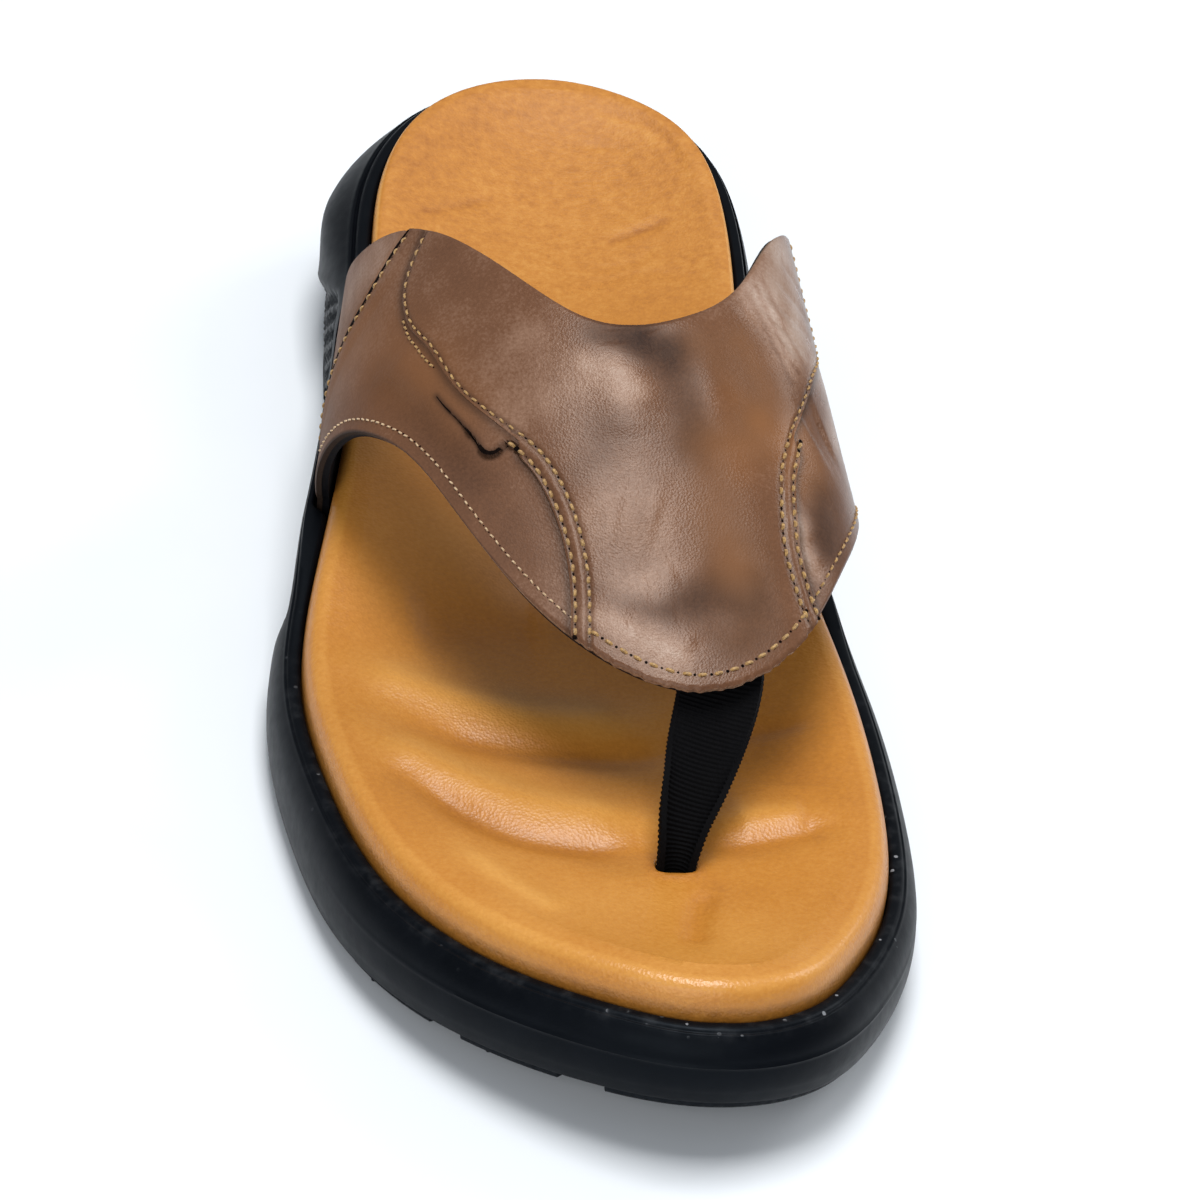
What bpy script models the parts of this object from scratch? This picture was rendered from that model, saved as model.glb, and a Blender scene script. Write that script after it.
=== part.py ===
"""A leather thong sandal for the right foot, standing on its tread.

Metres, +Z up: the toe points to -Y, the big toe's side to +X, and z = 0 is the ground.
The tables hold millimetres. A station is the distance from the footbed's toe towards its heel,
and x is measured from the footbed's heel centre towards the big toe's side.
"""

import math
from collections import namedtuple

import bmesh
import bpy
import numpy as np

MM = 0.001
GAP = 0.3  # clearance between neighbouring pieces
FOOTBED_LENGTH = 271.0
EVEN_STEPS = 52  # even steps along each side of the outline, besides those at the pockets' ends

# The footbed's edge and the sizes that follow it round, one row for each station.
# rim is the height of the sole's rim, the flares are how far the sole stands out past the edge,
# seat is how deep the footbed lies below the rim, crest how far its edge rises above the rim,
# and dish how far its middle sinks below the crest.
Girdle = namedtuple("Girdle", "station medial lateral rim medial_flare lateral_flare seat crest dish")
GIRDLES = (
    Girdle(0.0, 11.5, 11.5, 26.4, 6.5, 6.5, 5.5, 5.5, 0.5),
    Girdle(6.0, 27.0, -6.9, 25.0, 6.5, 6.5, 5.5, 5.5, 0.8),
    Girdle(18.0, 35.6, -23.2, 22.2, 6.4, 6.5, 5.5, 5.5, 1.6),
    Girdle(40.0, 44.5, -39.7, 19.2, 6.0, 6.4, 5.5, 5.4, 2.4),
    Girdle(70.0, 47.0, -49.3, 17.6, 5.6, 5.8, 5.5, 5.2, 3.0),
    Girdle(100.0, 45.0, -52.7, 17.9, 5.5, 5.5, 5.5, 4.8, 2.8),
    Girdle(135.0, 37.7, -47.7, 23.6, 5.5, 5.5, 5.6, 4.0, 2.2),
    Girdle(170.0, 33.0, -42.2, 27.2, 5.7, 5.8, 6.0, 3.2, 2.4),
    Girdle(205.0, 33.9, -37.6, 28.8, 5.7, 9.0, 7.0, 2.6, 3.6),
    Girdle(235.0, 33.9, -35.1, 31.8, 5.8, 10.0, 8.6, 2.4, 5.6),
    Girdle(257.0, 27.2, -26.8, 35.0, 6.2, 9.0, 9.6, 2.4, 4.6),
    Girdle(267.0, 15.3, -15.5, 36.2, 7.0, 8.0, 9.8, 2.3, 1.6),
    Girdle(FOOTBED_LENGTH, 0.2, 0.2, 36.6, 7.5, 7.5, 9.8, 2.2, 0.3),
)

# The tread: a sprung toe, a flat ball, a raised arch and a flat heel with a bevelled back.
LUG_DEPTH = 3.5
LUG_SUNK = 2.0
TOE_SPRING = 9.5
SPRING_END = 70.0
ARCH_START = 128.0
ARCH_END = 192.0
ARCH_RISE = 2.0
BEVEL_START = 258.0
BEVEL_LENGTH = 21.0
HEEL_BEVEL = 3.0

# The sole's wall from the tread to the rim. reach runs from 0 at the rim's outer edge to 1 at
# the full flare, and height from 0 at the tread's base to 1 at the rim.
Wall = namedtuple("Wall", "reach height")
WALLS = (
    Wall(0.80, 0.00),
    Wall(1.00, 0.14),
    Wall(1.00, 0.45),
    Wall(0.78, 0.74),
    Wall(0.36, 0.93),
    Wall(0.00, 1.00),
)
RIM_WIDTH = 2.2
RIM_CHAMFER = 0.6
RIM_CHAMFER_WIDTH = 0.3

# The footbed's rolled edge: inset from the edge, and the share of the crest reached there.
Roll = namedtuple("Roll", "inset share")
ROLLS = (
    Roll(0.0, -0.1),
    Roll(0.5, 0.35),
    Roll(1.8, 0.75),
    Roll(3.8, 0.97),
    Roll(6.0, 1.0),
)
FOOTBED_CROSS_STEPS = 8

# The upper's wall stands between footbed and rim along its two feet.
UPPER_WALL = 2.6
POCKET_WIDTH = UPPER_WALL + 2 * GAP
POCKET_RIM = 1.1  # what is left of the rim beside the pocket
POCKET_RAMP = 2.5
RIM_RAMP = 26.0  # the rim widens gently before and after a pocket
Pocket = namedtuple("Pocket", "side start end")
MEDIAL, LATERAL = 1, -1
POCKETS = (
    Pocket(MEDIAL, 129.0, 185.5),
    Pocket(LATERAL, 140.5, 190.5),
)

# The last under the upper, one cross-section for each row. A section is a superellipse from rim
# to rim over a crown, with its own power and outward bulge on each side.
Section = namedtuple(
    "Section", "station crown_x crown_z lateral_power medial_power lateral_bulge medial_bulge"
)
SECTIONS = (
    Section(55.0, 14.5, 42.0, 2.00, 2.2, 0.0, 0.0),
    Section(62.0, 14.0, 46.0, 1.95, 2.2, 0.0, 0.5),
    Section(80.0, 12.0, 55.0, 1.90, 2.3, 0.0, 1.0),
    Section(100.0, 7.0, 66.0, 1.90, 2.4, 0.5, 2.0),
    Section(123.0, 3.0, 78.0, 1.90, 2.6, 1.5, 2.5),
    Section(150.0, 0.0, 85.5, 1.95, 3.2, 3.0, 2.5),
    Section(190.0, -1.0, 92.0, 2.00, 3.6, 4.5, 2.5),
)

# Where the upper is cut, by the angle round the section from the lateral rim (0 degrees) over
# the crown (90) to the medial rim (180).
Cut = namedtuple("Cut", "angle front rear")
CUTS = (
    Cut(0.0, 142.0, 189.0),
    Cut(14.0, 136.0, 186.0),
    Cut(27.0, 129.0, 176.5),
    Cut(39.0, 119.0, 168.0),
    Cut(52.0, 102.0, 157.5),
    Cut(61.0, 82.5, 147.0),
    Cut(70.0, 69.8, 135.0),
    Cut(79.0, 63.6, 125.8),
    Cut(88.0, 61.9, 123.4),
    Cut(100.0, 65.0, 126.0),
    Cut(115.0, 74.0, 135.2),
    Cut(128.0, 86.0, 150.5),
    Cut(142.0, 101.5, 165.5),
    Cut(156.0, 116.0, 176.5),
    Cut(180.0, 130.0, 184.0),
)
GIRTH_STEPS = 60
LENGTH_STEPS = 12
MARGIN_STEPS = 2

# The toe post, from the seat up through the footbed and back under the upper's tip.
Post = namedtuple("Post", "station x lift width thickness")
POST_SEATED = (
    Post(43.0, 9.3, 0.3, 8.6, 4.0),
    Post(43.0, 9.3, 9.0, 8.6, 4.0),
)
POST_FREE = (
    Post(44.5, 9.5, 13.0, 9.0, 4.0),
    Post(50.0, 10.6, 18.6, 10.6, 3.8),
    Post(57.0, 12.2, 23.2, 13.0, 3.2),
)
POST_UNDER_UPPER = (68.0, 74.0, 80.0)
POST_END_WIDTH = 15.0
POST_END_THICKNESS = 2.6
POST_SIDES = 20
POST_STEPS = 18
SLOT_CLEARANCE = 0.5
SLOT_OVERRUN = 3.0  # how far the slot's cutter passes the footbed below and above

# Lugs along the sole's edge: stations from start to end, and how far each reaches inwards.
EdgeLug = namedtuple("EdgeLug", "side start end depth")
EDGE_LUGS = (
    EdgeLug(MEDIAL, 16.0, 27.0, 15.0),
    EdgeLug(MEDIAL, 31.0, 42.0, 17.0),
    EdgeLug(MEDIAL, 46.5, 66.0, 19.0),
    EdgeLug(MEDIAL, 71.0, 90.0, 19.0),
    EdgeLug(MEDIAL, 95.0, 114.0, 18.0),
    EdgeLug(MEDIAL, 119.0, 138.0, 16.0),
    EdgeLug(LATERAL, 8.0, 20.0, 9.0),
    EdgeLug(LATERAL, 24.0, 42.0, 11.0),
    EdgeLug(LATERAL, 46.5, 67.0, 16.0),
    EdgeLug(LATERAL, 72.0, 93.0, 16.0),
    EdgeLug(LATERAL, 98.0, 118.0, 16.0),
    EdgeLug(LATERAL, 122.5, 138.0, 15.0),
)
HEEL_LUG_STATIONS = ((188.0, 205.5), (208.5, 226.0), (229.0, 245.0), (248.0, 261.0))
HEEL_LUG_DEPTH = 13.5
TOE_BUMPER = EdgeLug(0, 10.5, 4.5, 16.0)
HEEL_BUMPER = EdgeLug(0, 264.5, 264.5, 13.0)
LUG_EDGE_INSET = 0.9
LUG_EDGE_STEPS = 5

# Central chevron lugs, as an outline round the notch on their toe side (x, station), and where
# each notch lies, with how much wider and longer that lug is than the first.
CHEVRON_OUTLINE = (
    (19.8, 10.4), (19.0, 7.4), (8.3, -2.8), (0.0, 0.0), (-8.6, -4.2), (-25.2, -0.6), (-27.1, 4.1),
    (-24.7, 8.0), (-13.5, 7.9), (-8.9, 13.6), (-1.8, 13.9), (5.8, 8.1), (13.5, 13.5),
)
Chevron = namedtuple("Chevron", "x station wider longer")
CHEVRONS = (
    Chevron(5.0, 24.5, 1.00, 1.00),
    Chevron(0.5, 45.0, 1.08, 1.08),
    Chevron(-3.5, 69.0, 1.12, 1.25),
    Chevron(-6.5, 96.5, 1.02, 1.25),
)

Finish = namedtuple("Finish", "colour roughness")
FINISHES = {
    "sole": Finish((0.012, 0.013, 0.016), 0.55),
    "footbed": Finish((0.62, 0.28, 0.055), 0.45),
    "upper": Finish((0.16, 0.078, 0.045), 0.42),
    "toe_post": Finish((0.008, 0.008, 0.009), 0.80),
}
SMOOTH_ANGLE = math.radians(38)

# Steps for slopes taken by differences.
SMALL_TURN = 1e-4
SMALL_ANGLE = 0.02
SMALL_STATION = 0.02


def natural_cubic(knots, values):
    """A function that runs smoothly through the values at the knots."""
    knots = np.asarray(knots, float)
    values = np.asarray(values, float)
    spans = np.diff(knots)
    rises = np.diff(values) / spans
    count = len(knots)
    system = np.eye(count)
    right = np.zeros(count)
    for i in range(1, count - 1):
        system[i, i - 1 : i + 2] = spans[i - 1], 2 * (spans[i - 1] + spans[i]), spans[i]
        right[i] = 6 * (rises[i] - rises[i - 1])
    bends = np.linalg.solve(system, right)

    def curve(place):
        place = np.asarray(place, float)
        i = np.clip(np.searchsorted(knots, place) - 1, 0, count - 2)
        a = (knots[i + 1] - place) / spans[i]
        b = (place - knots[i]) / spans[i]
        bent = ((a**3 - a) * bends[i] + (b**3 - b) * bends[i + 1]) * spans[i] ** 2 / 6
        return a * values[i] + b * values[i + 1] + bent

    return curve


def turn_of(station):
    """The outline's own parameter, which runs evenly round both of its ends."""
    return np.arccos(np.clip(1 - 2 * np.asarray(station, float) / FOOTBED_LENGTH, -1, 1))


def columns(rows, knots):
    """A smooth function for each column of a table."""
    return {name: natural_cubic(knots, [getattr(row, name) for row in rows]) for name in rows[0]._fields}


GIRDLE = columns(GIRDLES, turn_of([row.station for row in GIRDLES]))
SECTION = columns(SECTIONS, [row.station for row in SECTIONS])
CUT = columns(CUTS, [math.radians(row.angle) for row in CUTS])


def girdle(name, station):
    return GIRDLE[name](turn_of(station))


def smooth(t):
    t = np.clip(t, 0, 1)
    return t * t * (3 - 2 * t)


def tread_height(station):
    station = np.asarray(station, float)
    spring = TOE_SPRING * (np.clip(SPRING_END - station, 0, None) / SPRING_END) ** 2
    along_arch = np.clip((station - ARCH_START) / (ARCH_END - ARCH_START), 0, 1)
    bevel = HEEL_BEVEL * (np.clip(station - BEVEL_START, 0, None) / BEVEL_LENGTH) ** 2
    return spring + ARCH_RISE * np.sin(np.pi * along_arch) ** 2 + bevel


def base_height(station):
    return tread_height(station) + LUG_DEPTH


def pocket_share(station, side, ramp):
    """1 where the upper's foot stands beside the footbed, falling to 0 over the ramp."""
    share = np.zeros(np.shape(station))
    for pocket in POCKETS:
        before = smooth((station - pocket.start + ramp) / ramp)
        after = smooth((pocket.end + ramp - station) / ramp)
        share = np.where(side == pocket.side, before * after, share)
    return share


class Outline:
    """Points round the footbed's edge, from the toe along the medial side and back."""

    def __init__(self):
        ends = [turn_of([p.start - POCKET_RAMP, p.start, p.end, p.end + POCKET_RAMP]) for p in POCKETS]
        turns = np.unique(np.concatenate([np.linspace(0, math.pi, EVEN_STEPS + 1), *ends]))
        self.steps = len(turns) - 1
        self.turn = np.concatenate([turns, turns[-2:0:-1]])
        self.side = np.where(np.arange(2 * self.steps) <= self.steps, MEDIAL, LATERAL)
        self.station = FOOTBED_LENGTH * (1 - np.cos(self.turn)) / 2
        self.edge, self.outward = edge_and_outward(self.turn, self.side)
        self.flare = flare_at(self.turn, self.side)

    def of(self, name):
        return GIRDLE[name](self.turn)

    def ring(self, offset, height):
        plan = self.edge + self.outward * np.broadcast_to(offset, self.turn.shape)[:, None]
        return np.column_stack([plan, np.broadcast_to(height, self.turn.shape)])


def flare_at(turn, side):
    return np.where(side == MEDIAL, GIRDLE["medial_flare"](turn), GIRDLE["lateral_flare"](turn))


def edge_and_outward(turn, side):
    """The footbed's edge in plan and the direction away from it."""

    def point(at):
        x = np.where(side == MEDIAL, GIRDLE["medial"](at), GIRDLE["lateral"](at))
        return np.stack([x, FOOTBED_LENGTH * (1 - np.cos(at)) / 2], -1)

    before = np.clip(turn - SMALL_TURN, 0, math.pi)
    after = np.clip(turn + SMALL_TURN, 0, math.pi)
    along = point(after) - point(before)
    outward = np.stack([along[..., 1], -along[..., 0]], -1) * np.asarray(side)[..., None]
    return point(turn), outward / np.linalg.norm(outward, axis=-1, keepdims=True)


def last_point(station, angle):
    """A point on the upper's outer face, by station and angle round the section."""
    station, angle = np.broadcast_arrays(np.asarray(station, float), np.asarray(angle, float))
    section = {name: curve(station) for name, curve in SECTION.items()}
    turn = turn_of(station)
    foot = {}
    for side in (LATERAL, MEDIAL):
        edge, outward = edge_and_outward(turn, np.full(turn.shape, side))
        foot[side] = edge[..., 0] + (GAP + UPPER_WALL) / outward[..., 0]
    share = smooth((angle - math.pi / 4) / (math.pi / 2))
    power = section["lateral_power"] * (1 - share) + section["medial_power"] * share
    lateral_half = section["crown_x"] - foot[LATERAL]
    medial_half = foot[MEDIAL] - section["crown_x"]
    half = lateral_half * (1 - share) + medial_half * share
    rim = girdle("rim", station)
    across = np.cos(angle)
    up = np.maximum(np.sin(angle), 0)
    reach = (np.abs(across) ** power + up**power) ** (-1 / power)
    fold = 1 - np.abs(angle / (math.pi / 2) - 1)
    bulge = np.where(angle < math.pi / 2, -section["lateral_bulge"], section["medial_bulge"])
    x = section["crown_x"] - half * across * reach + bulge * 4 * fold * (1 - fold)
    return np.stack([x, station, rim + (section["crown_z"] - rim) * up * reach], -1)


def last_normal(station, angle):
    """The outward direction on the upper's outer face."""
    station, angle = np.broadcast_arrays(np.asarray(station, float), np.asarray(angle, float))
    low = np.clip(angle - SMALL_ANGLE, 0, math.pi)
    high = np.clip(angle + SMALL_ANGLE, 0, math.pi)
    round_section = last_point(station, high) - last_point(station, low)
    along = last_point(station + SMALL_STATION, angle) - last_point(station - SMALL_STATION, angle)
    normal = np.cross(round_section, along)
    return normal / np.linalg.norm(normal, axis=-1, keepdims=True)


def new_mesh(name, points, faces):
    """A mesh in metres with its faces turned outwards."""
    mesh = bpy.data.meshes.new(name)
    mesh.from_pydata((np.asarray(points) * MM).tolist(), [], faces)
    shape = bmesh.new()
    shape.from_mesh(mesh)
    bmesh.ops.recalc_face_normals(shape, faces=shape.faces)
    shape.to_mesh(mesh)
    shape.free()
    return mesh


def add_object(name, mesh, parent):
    piece = bpy.data.objects.new(name, mesh)
    bpy.context.scene.collection.objects.link(piece)
    piece.parent = parent
    finish = FINISHES[name]
    material = bpy.data.materials.new(name)
    material.use_nodes = True
    shader = material.node_tree.nodes["Principled BSDF"]
    shader.inputs["Base Color"].default_value = (*finish.colour, 1)
    shader.inputs["Roughness"].default_value = finish.roughness
    shader.inputs["Metallic"].default_value = 0
    mesh.materials.append(material)
    mesh.shade_smooth()
    mesh.set_sharp_from_angle(angle=SMOOTH_ANGLE)
    return piece


def add_helper(name, mesh, parent):
    helper = bpy.data.objects.new(name, mesh)
    bpy.context.scene.collection.objects.link(helper)
    helper.parent = parent
    helper.hide_render = True
    helper.display_type = "WIRE"
    return helper


def add_boolean(piece, helper, operation):
    boolean = piece.modifiers.new(helper.name, "BOOLEAN")
    boolean.object = helper
    boolean.operation = operation
    boolean.solver = "EXACT"


def bands_between(rings):
    """Quads from each closed ring of points to the next."""
    count = len(rings[0])
    faces = []
    for level in range(len(rings) - 1):
        here, above = level * count, (level + 1) * count
        for i in range(count):
            j = (i + 1) % count
            faces.append((here + i, here + j, above + j, above + i))
    return faces


def cap_faces(first, steps):
    """Strips across a ring of an outline, which pairs its medial and lateral points."""
    count = 2 * steps
    faces = [(first, first + 1, first + count - 1)]
    for i in range(1, steps - 1):
        faces.append((first + i, first + i + 1, first + count - i - 1, first + count - i))
    faces.append((first + steps - 1, first + steps, first + steps + 1))
    return faces


def crowned_cap(ring, steps, cross_steps, depth):
    """Points and faces across a ring, sunk by depth at each station's middle."""
    count = 2 * steps
    points = []
    rows = [[0] * (cross_steps + 1)]
    for i in range(1, steps):
        medial, lateral = ring[i], ring[count - i]
        row = [i]
        for k in range(1, cross_steps):
            t = k / cross_steps
            point = medial + (lateral - medial) * t
            point[2] -= depth[i] * (1 - (2 * t - 1) ** 2)
            row.append(count + len(points))
            points.append(point)
        rows.append(row + [count - i])
    rows.append([steps] * (cross_steps + 1))
    faces = []
    for near, far in zip(rows, rows[1:]):
        for k in range(cross_steps):
            corners = (near[k], near[k + 1], far[k + 1], far[k])
            faces.append(tuple(dict.fromkeys(corners)))
    return points, faces


def build_sole(parent):
    outline = Outline()
    rim = outline.of("rim")
    inner = GAP + (POCKET_WIDTH - GAP) * pocket_share(outline.station, outline.side, POCKET_RAMP)
    widened = pocket_share(outline.station, outline.side, RIM_RAMP)
    rim_edge = RIM_WIDTH + (POCKET_WIDTH + POCKET_RIM - RIM_WIDTH) * widened
    rings = []
    for wall in WALLS:
        offset = rim_edge + (outline.flare - rim_edge) * wall.reach
        plan = outline.ring(offset, 0)
        base = base_height(plan[:, 1])
        plan[:, 2] = base + (rim - base) * wall.height
        rings.append(plan)
    rings.append(outline.ring(inner + RIM_CHAMFER_WIDTH, rim))
    rings.append(outline.ring(inner, rim - RIM_CHAMFER))
    rings.append(outline.ring(inner, rim - outline.of("seat")))
    faces = bands_between(rings)
    faces += cap_faces(0, outline.steps)
    faces += cap_faces((len(rings) - 1) * len(rings[0]), outline.steps)
    sole = add_object("sole", new_mesh("sole", np.concatenate(rings), faces), parent)
    lugs = add_helper("lugs", lug_mesh(), parent)
    add_boolean(sole, lugs, "UNION")
    return sole


def tread_edge(turn, side):
    """The tread's outer edge in plan, a little inside the foot of the sole's wall."""
    edge, outward = edge_and_outward(turn, side)
    offset = RIM_WIDTH + (flare_at(turn, side) - RIM_WIDTH) * WALLS[0].reach - LUG_EDGE_INSET
    return edge + outward * offset[..., None], outward


def edge_lug_outline(lug):
    """The plan of a lug along one side, or round the toe or heel where its side is 0."""
    start, end = turn_of([lug.start, lug.end])
    if lug.side:
        turns = np.linspace(start, end, LUG_EDGE_STEPS)
        sides = np.full(LUG_EDGE_STEPS, lug.side)
    else:
        tip = 0 if lug.start < FOOTBED_LENGTH / 2 else math.pi
        medial_turns = np.linspace(start, tip, LUG_EDGE_STEPS)
        lateral_turns = np.linspace(tip, end, LUG_EDGE_STEPS)[1:]
        turns = np.concatenate([medial_turns, lateral_turns])
        sides = np.repeat([MEDIAL, LATERAL], [LUG_EDGE_STEPS, LUG_EDGE_STEPS - 1])
    outer, outward = tread_edge(turns, sides)
    inner = outer - outward * lug.depth
    return np.concatenate([outer, inner[::-1]])


def chevron_outline(chevron):
    shape = np.array(CHEVRON_OUTLINE) * (chevron.wider, chevron.longer)
    return shape + (chevron.x, chevron.station)


def lug_mesh():
    """All the lugs, each a prism from the tread up into the sole."""
    outlines = [edge_lug_outline(lug) for lug in EDGE_LUGS + (TOE_BUMPER, HEEL_BUMPER)]
    for start, end in HEEL_LUG_STATIONS:
        for side in (MEDIAL, LATERAL):
            outlines.append(edge_lug_outline(EdgeLug(side, start, end, HEEL_LUG_DEPTH)))
    outlines += [chevron_outline(chevron) for chevron in CHEVRONS]
    points = []
    faces = []
    for plan in outlines:
        first = len(points)
        count = len(plan)
        ground = tread_height(plan[:, 1])
        points += np.column_stack([plan, ground]).tolist()
        points += np.column_stack([plan, ground + LUG_DEPTH + LUG_SUNK]).tolist()
        for i in range(count):
            j = (i + 1) % count
            faces.append((first + i, first + j, first + count + j, first + count + i))
        faces.append(tuple(range(first, first + count)))
        faces.append(tuple(range(first + count, first + 2 * count)))
    return new_mesh("lugs", points, faces)


def seat_height(station):
    return girdle("rim", station) - girdle("seat", station)


def footbed_top(station):
    """The footbed's height on its middle line."""
    return girdle("rim", station) + girdle("crest", station) - girdle("dish", station)


def build_footbed(parent):
    outline = Outline()
    rim = outline.of("rim")
    crest = outline.of("crest")
    rings = [outline.ring(0, rim - outline.of("seat") + GAP)]
    for roll in ROLLS:
        rings.append(outline.ring(-roll.inset, rim + crest * roll.share))
    count = len(rings[0])
    faces = bands_between(rings) + cap_faces(0, outline.steps)
    last = (len(rings) - 1) * count
    extra, top_faces = crowned_cap(rings[-1], outline.steps, FOOTBED_CROSS_STEPS, outline.of("dish"))
    faces += [tuple(last + i for i in face) for face in top_faces]
    points = np.concatenate(rings + [np.array(extra)])
    footbed = add_object("footbed", new_mesh("footbed", points, faces), parent)
    slot = add_helper("post_slot", slot_mesh(), parent)
    add_boolean(footbed, slot, "DIFFERENCE")
    return footbed


def post_section(centre, across, over, width, thickness):
    """An oval ring of the toe post."""
    turns = np.arange(POST_SIDES) * (2 * math.pi / POST_SIDES)
    return (
        centre
        + np.cos(turns)[:, None] * across * (width / 2)
        + np.sin(turns)[:, None] * over * (thickness / 2)
    )


def slot_mesh():
    """The cutter for the footbed's slot, clear of the post on every side."""
    post = POST_SEATED[0]
    low = seat_height(post.station) - SLOT_OVERRUN
    high = footbed_top(post.station) + SLOT_OVERRUN
    rings = []
    for height in (low, high):
        centre = np.array([post.x, post.station, height])
        rings.append(
            post_section(
                centre,
                np.array([1.0, 0, 0]),
                np.array([0, 1.0, 0]),
                post.width + 2 * SLOT_CLEARANCE,
                post.thickness + 2 * SLOT_CLEARANCE,
            )
        )
    return tube_mesh("post_slot", rings)


def tube_mesh(name, rings):
    count = len(rings[0])
    faces = bands_between(rings)
    faces.append(tuple(range(count)))
    faces.append(tuple(range((len(rings) - 1) * count, len(rings) * count)))
    return new_mesh(name, np.concatenate(rings), faces)


def post_route():
    """The post's centre line with its width and thickness, from the seat to its sewn end."""
    seat = seat_height(POST_SEATED[0].station) + GAP
    rows = []
    for post in POST_SEATED + POST_FREE:
        rows.append((post.x, post.station, seat + post.lift, post.width, post.thickness))
    below = UPPER_WALL + GAP + POST_END_THICKNESS / 2
    for station in POST_UNDER_UPPER:
        crown = last_point(station, math.pi / 2) - last_normal(station, math.pi / 2) * below
        rows.append((*crown, POST_END_WIDTH, POST_END_THICKNESS))
    rows = np.array(rows)
    lengths = np.linalg.norm(np.diff(rows[:, :3], axis=0), axis=1)
    places = np.concatenate([[0], np.cumsum(lengths)])
    samples = np.linspace(0, places[-1], POST_STEPS + 1)
    return np.column_stack([natural_cubic(places, rows[:, k])(samples) for k in range(rows.shape[1])])


def build_toe_post(parent):
    route = post_route()
    along = np.gradient(route[:, :3], axis=0)
    along[0] = (0, 0, 1)
    rings = []
    for row, direction in zip(route, along):
        direction = direction / np.linalg.norm(direction)
        over = np.cross(direction, (1.0, 0, 0))
        over /= np.linalg.norm(over)
        across = np.cross(over, direction)
        rings.append(post_section(row[:3], across, over, row[3], row[4]))
    return add_object("toe_post", tube_mesh("toe_post", rings), parent)


def upper_grid(inset):
    """One face of the upper as rows of points from the lateral foot over to the medial foot."""
    angles = np.linspace(0, math.pi, GIRTH_STEPS + 1)
    shares = np.linspace(0, 1, LENGTH_STEPS + 1)
    fronts, rears = CUT["front"](angles), CUT["rear"](angles)
    stations = fronts[:, None] + (rears - fronts)[:, None] * shares
    skin = last_point(stations, angles[:, None])
    skin = skin - last_normal(stations, angles[:, None]) * inset
    rows = list(skin)
    for end, put in ((0, rows.insert), (-1, lambda _, row: rows.append(row))):
        foot = rows[end].copy()
        floor = seat_height(foot[:, 1]) + GAP
        for step in range(1, MARGIN_STEPS + 1):
            row = foot.copy()
            row[:, 2] += (floor - foot[:, 2]) * step / MARGIN_STEPS
            put(0, row)
    return np.array(rows)


def build_upper(parent):
    outer, inner = upper_grid(0), upper_grid(UPPER_WALL)
    rows, cols = outer.shape[:2]
    points = np.concatenate([outer.reshape(-1, 3), inner.reshape(-1, 3)])
    second = rows * cols

    def at(row, col):
        return row * cols + col

    faces = []
    for row in range(rows - 1):
        for col in range(cols - 1):
            quad = (at(row, col), at(row + 1, col), at(row + 1, col + 1), at(row, col + 1))
            faces.append(quad)
            faces.append(tuple(second + i for i in reversed(quad)))
    border = [at(0, c) for c in range(cols - 1)]
    border += [at(r, cols - 1) for r in range(rows - 1)]
    border += [at(rows - 1, c) for c in range(cols - 1, 0, -1)]
    border += [at(r, 0) for r in range(rows - 1, 0, -1)]
    for i, j in zip(border, border[1:] + border[:1]):
        faces.append((i, j, second + j, second + i))
    return add_object("upper", new_mesh("upper", points, faces), parent)


def centred_frame():
    """The empty that brings the sole's middle over the origin."""
    outline = Outline()
    widest = outline.ring(outline.flare, 0)
    middle = (widest.min(axis=0) + widest.max(axis=0)) / 2
    frame = bpy.data.objects.new("sandal", None)
    bpy.context.scene.collection.objects.link(frame)
    frame.location = (-middle[0] * MM, -middle[1] * MM, 0)
    return frame


def main():
    for old in list(bpy.data.objects):
        bpy.data.objects.remove(old)
    frame = centred_frame()
    build_sole(frame)
    build_footbed(frame)
    build_upper(frame)
    build_toe_post(frame)


main()
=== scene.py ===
"""The looks of a leather thong sandal for the right foot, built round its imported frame.

The tables hold millimetres, as the part's own do. A station is the distance from the footbed's
toe towards its heel, and x runs from the footbed's heel centre towards the big toe's side. An
angle goes round the upper's section from the lateral rim (0 degrees) over the crown (90) to the
medial rim (180). Meshes are moved into the row frame, in metres, as they are made.
"""

import math
from collections import namedtuple

import bmesh
import bpy
import numpy as np
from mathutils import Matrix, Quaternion, Vector


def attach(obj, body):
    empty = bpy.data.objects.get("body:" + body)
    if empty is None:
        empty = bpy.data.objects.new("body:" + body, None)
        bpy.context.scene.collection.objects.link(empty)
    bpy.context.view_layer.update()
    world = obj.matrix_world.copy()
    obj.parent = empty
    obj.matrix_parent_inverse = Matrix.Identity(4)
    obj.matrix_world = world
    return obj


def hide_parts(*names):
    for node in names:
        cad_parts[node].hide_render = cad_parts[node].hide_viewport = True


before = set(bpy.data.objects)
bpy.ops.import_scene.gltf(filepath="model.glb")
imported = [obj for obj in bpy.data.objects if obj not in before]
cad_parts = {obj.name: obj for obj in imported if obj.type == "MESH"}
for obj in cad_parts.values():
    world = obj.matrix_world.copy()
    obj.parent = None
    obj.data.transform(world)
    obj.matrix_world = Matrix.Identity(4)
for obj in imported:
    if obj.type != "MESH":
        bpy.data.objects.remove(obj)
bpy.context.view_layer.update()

MM = 0.001
SEED = 11
BODY = "root"
SMOOTH_ANGLE = math.radians(40)


def rows_of(kind, *rows):
    """A table's rows, with the names of their columns."""
    return tuple(kind(*row) for row in rows)


# Sizes of the frame

GAP = 0.3
FOOTBED_LENGTH = 271.0
MEDIAL, LATERAL = 1, -1

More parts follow.
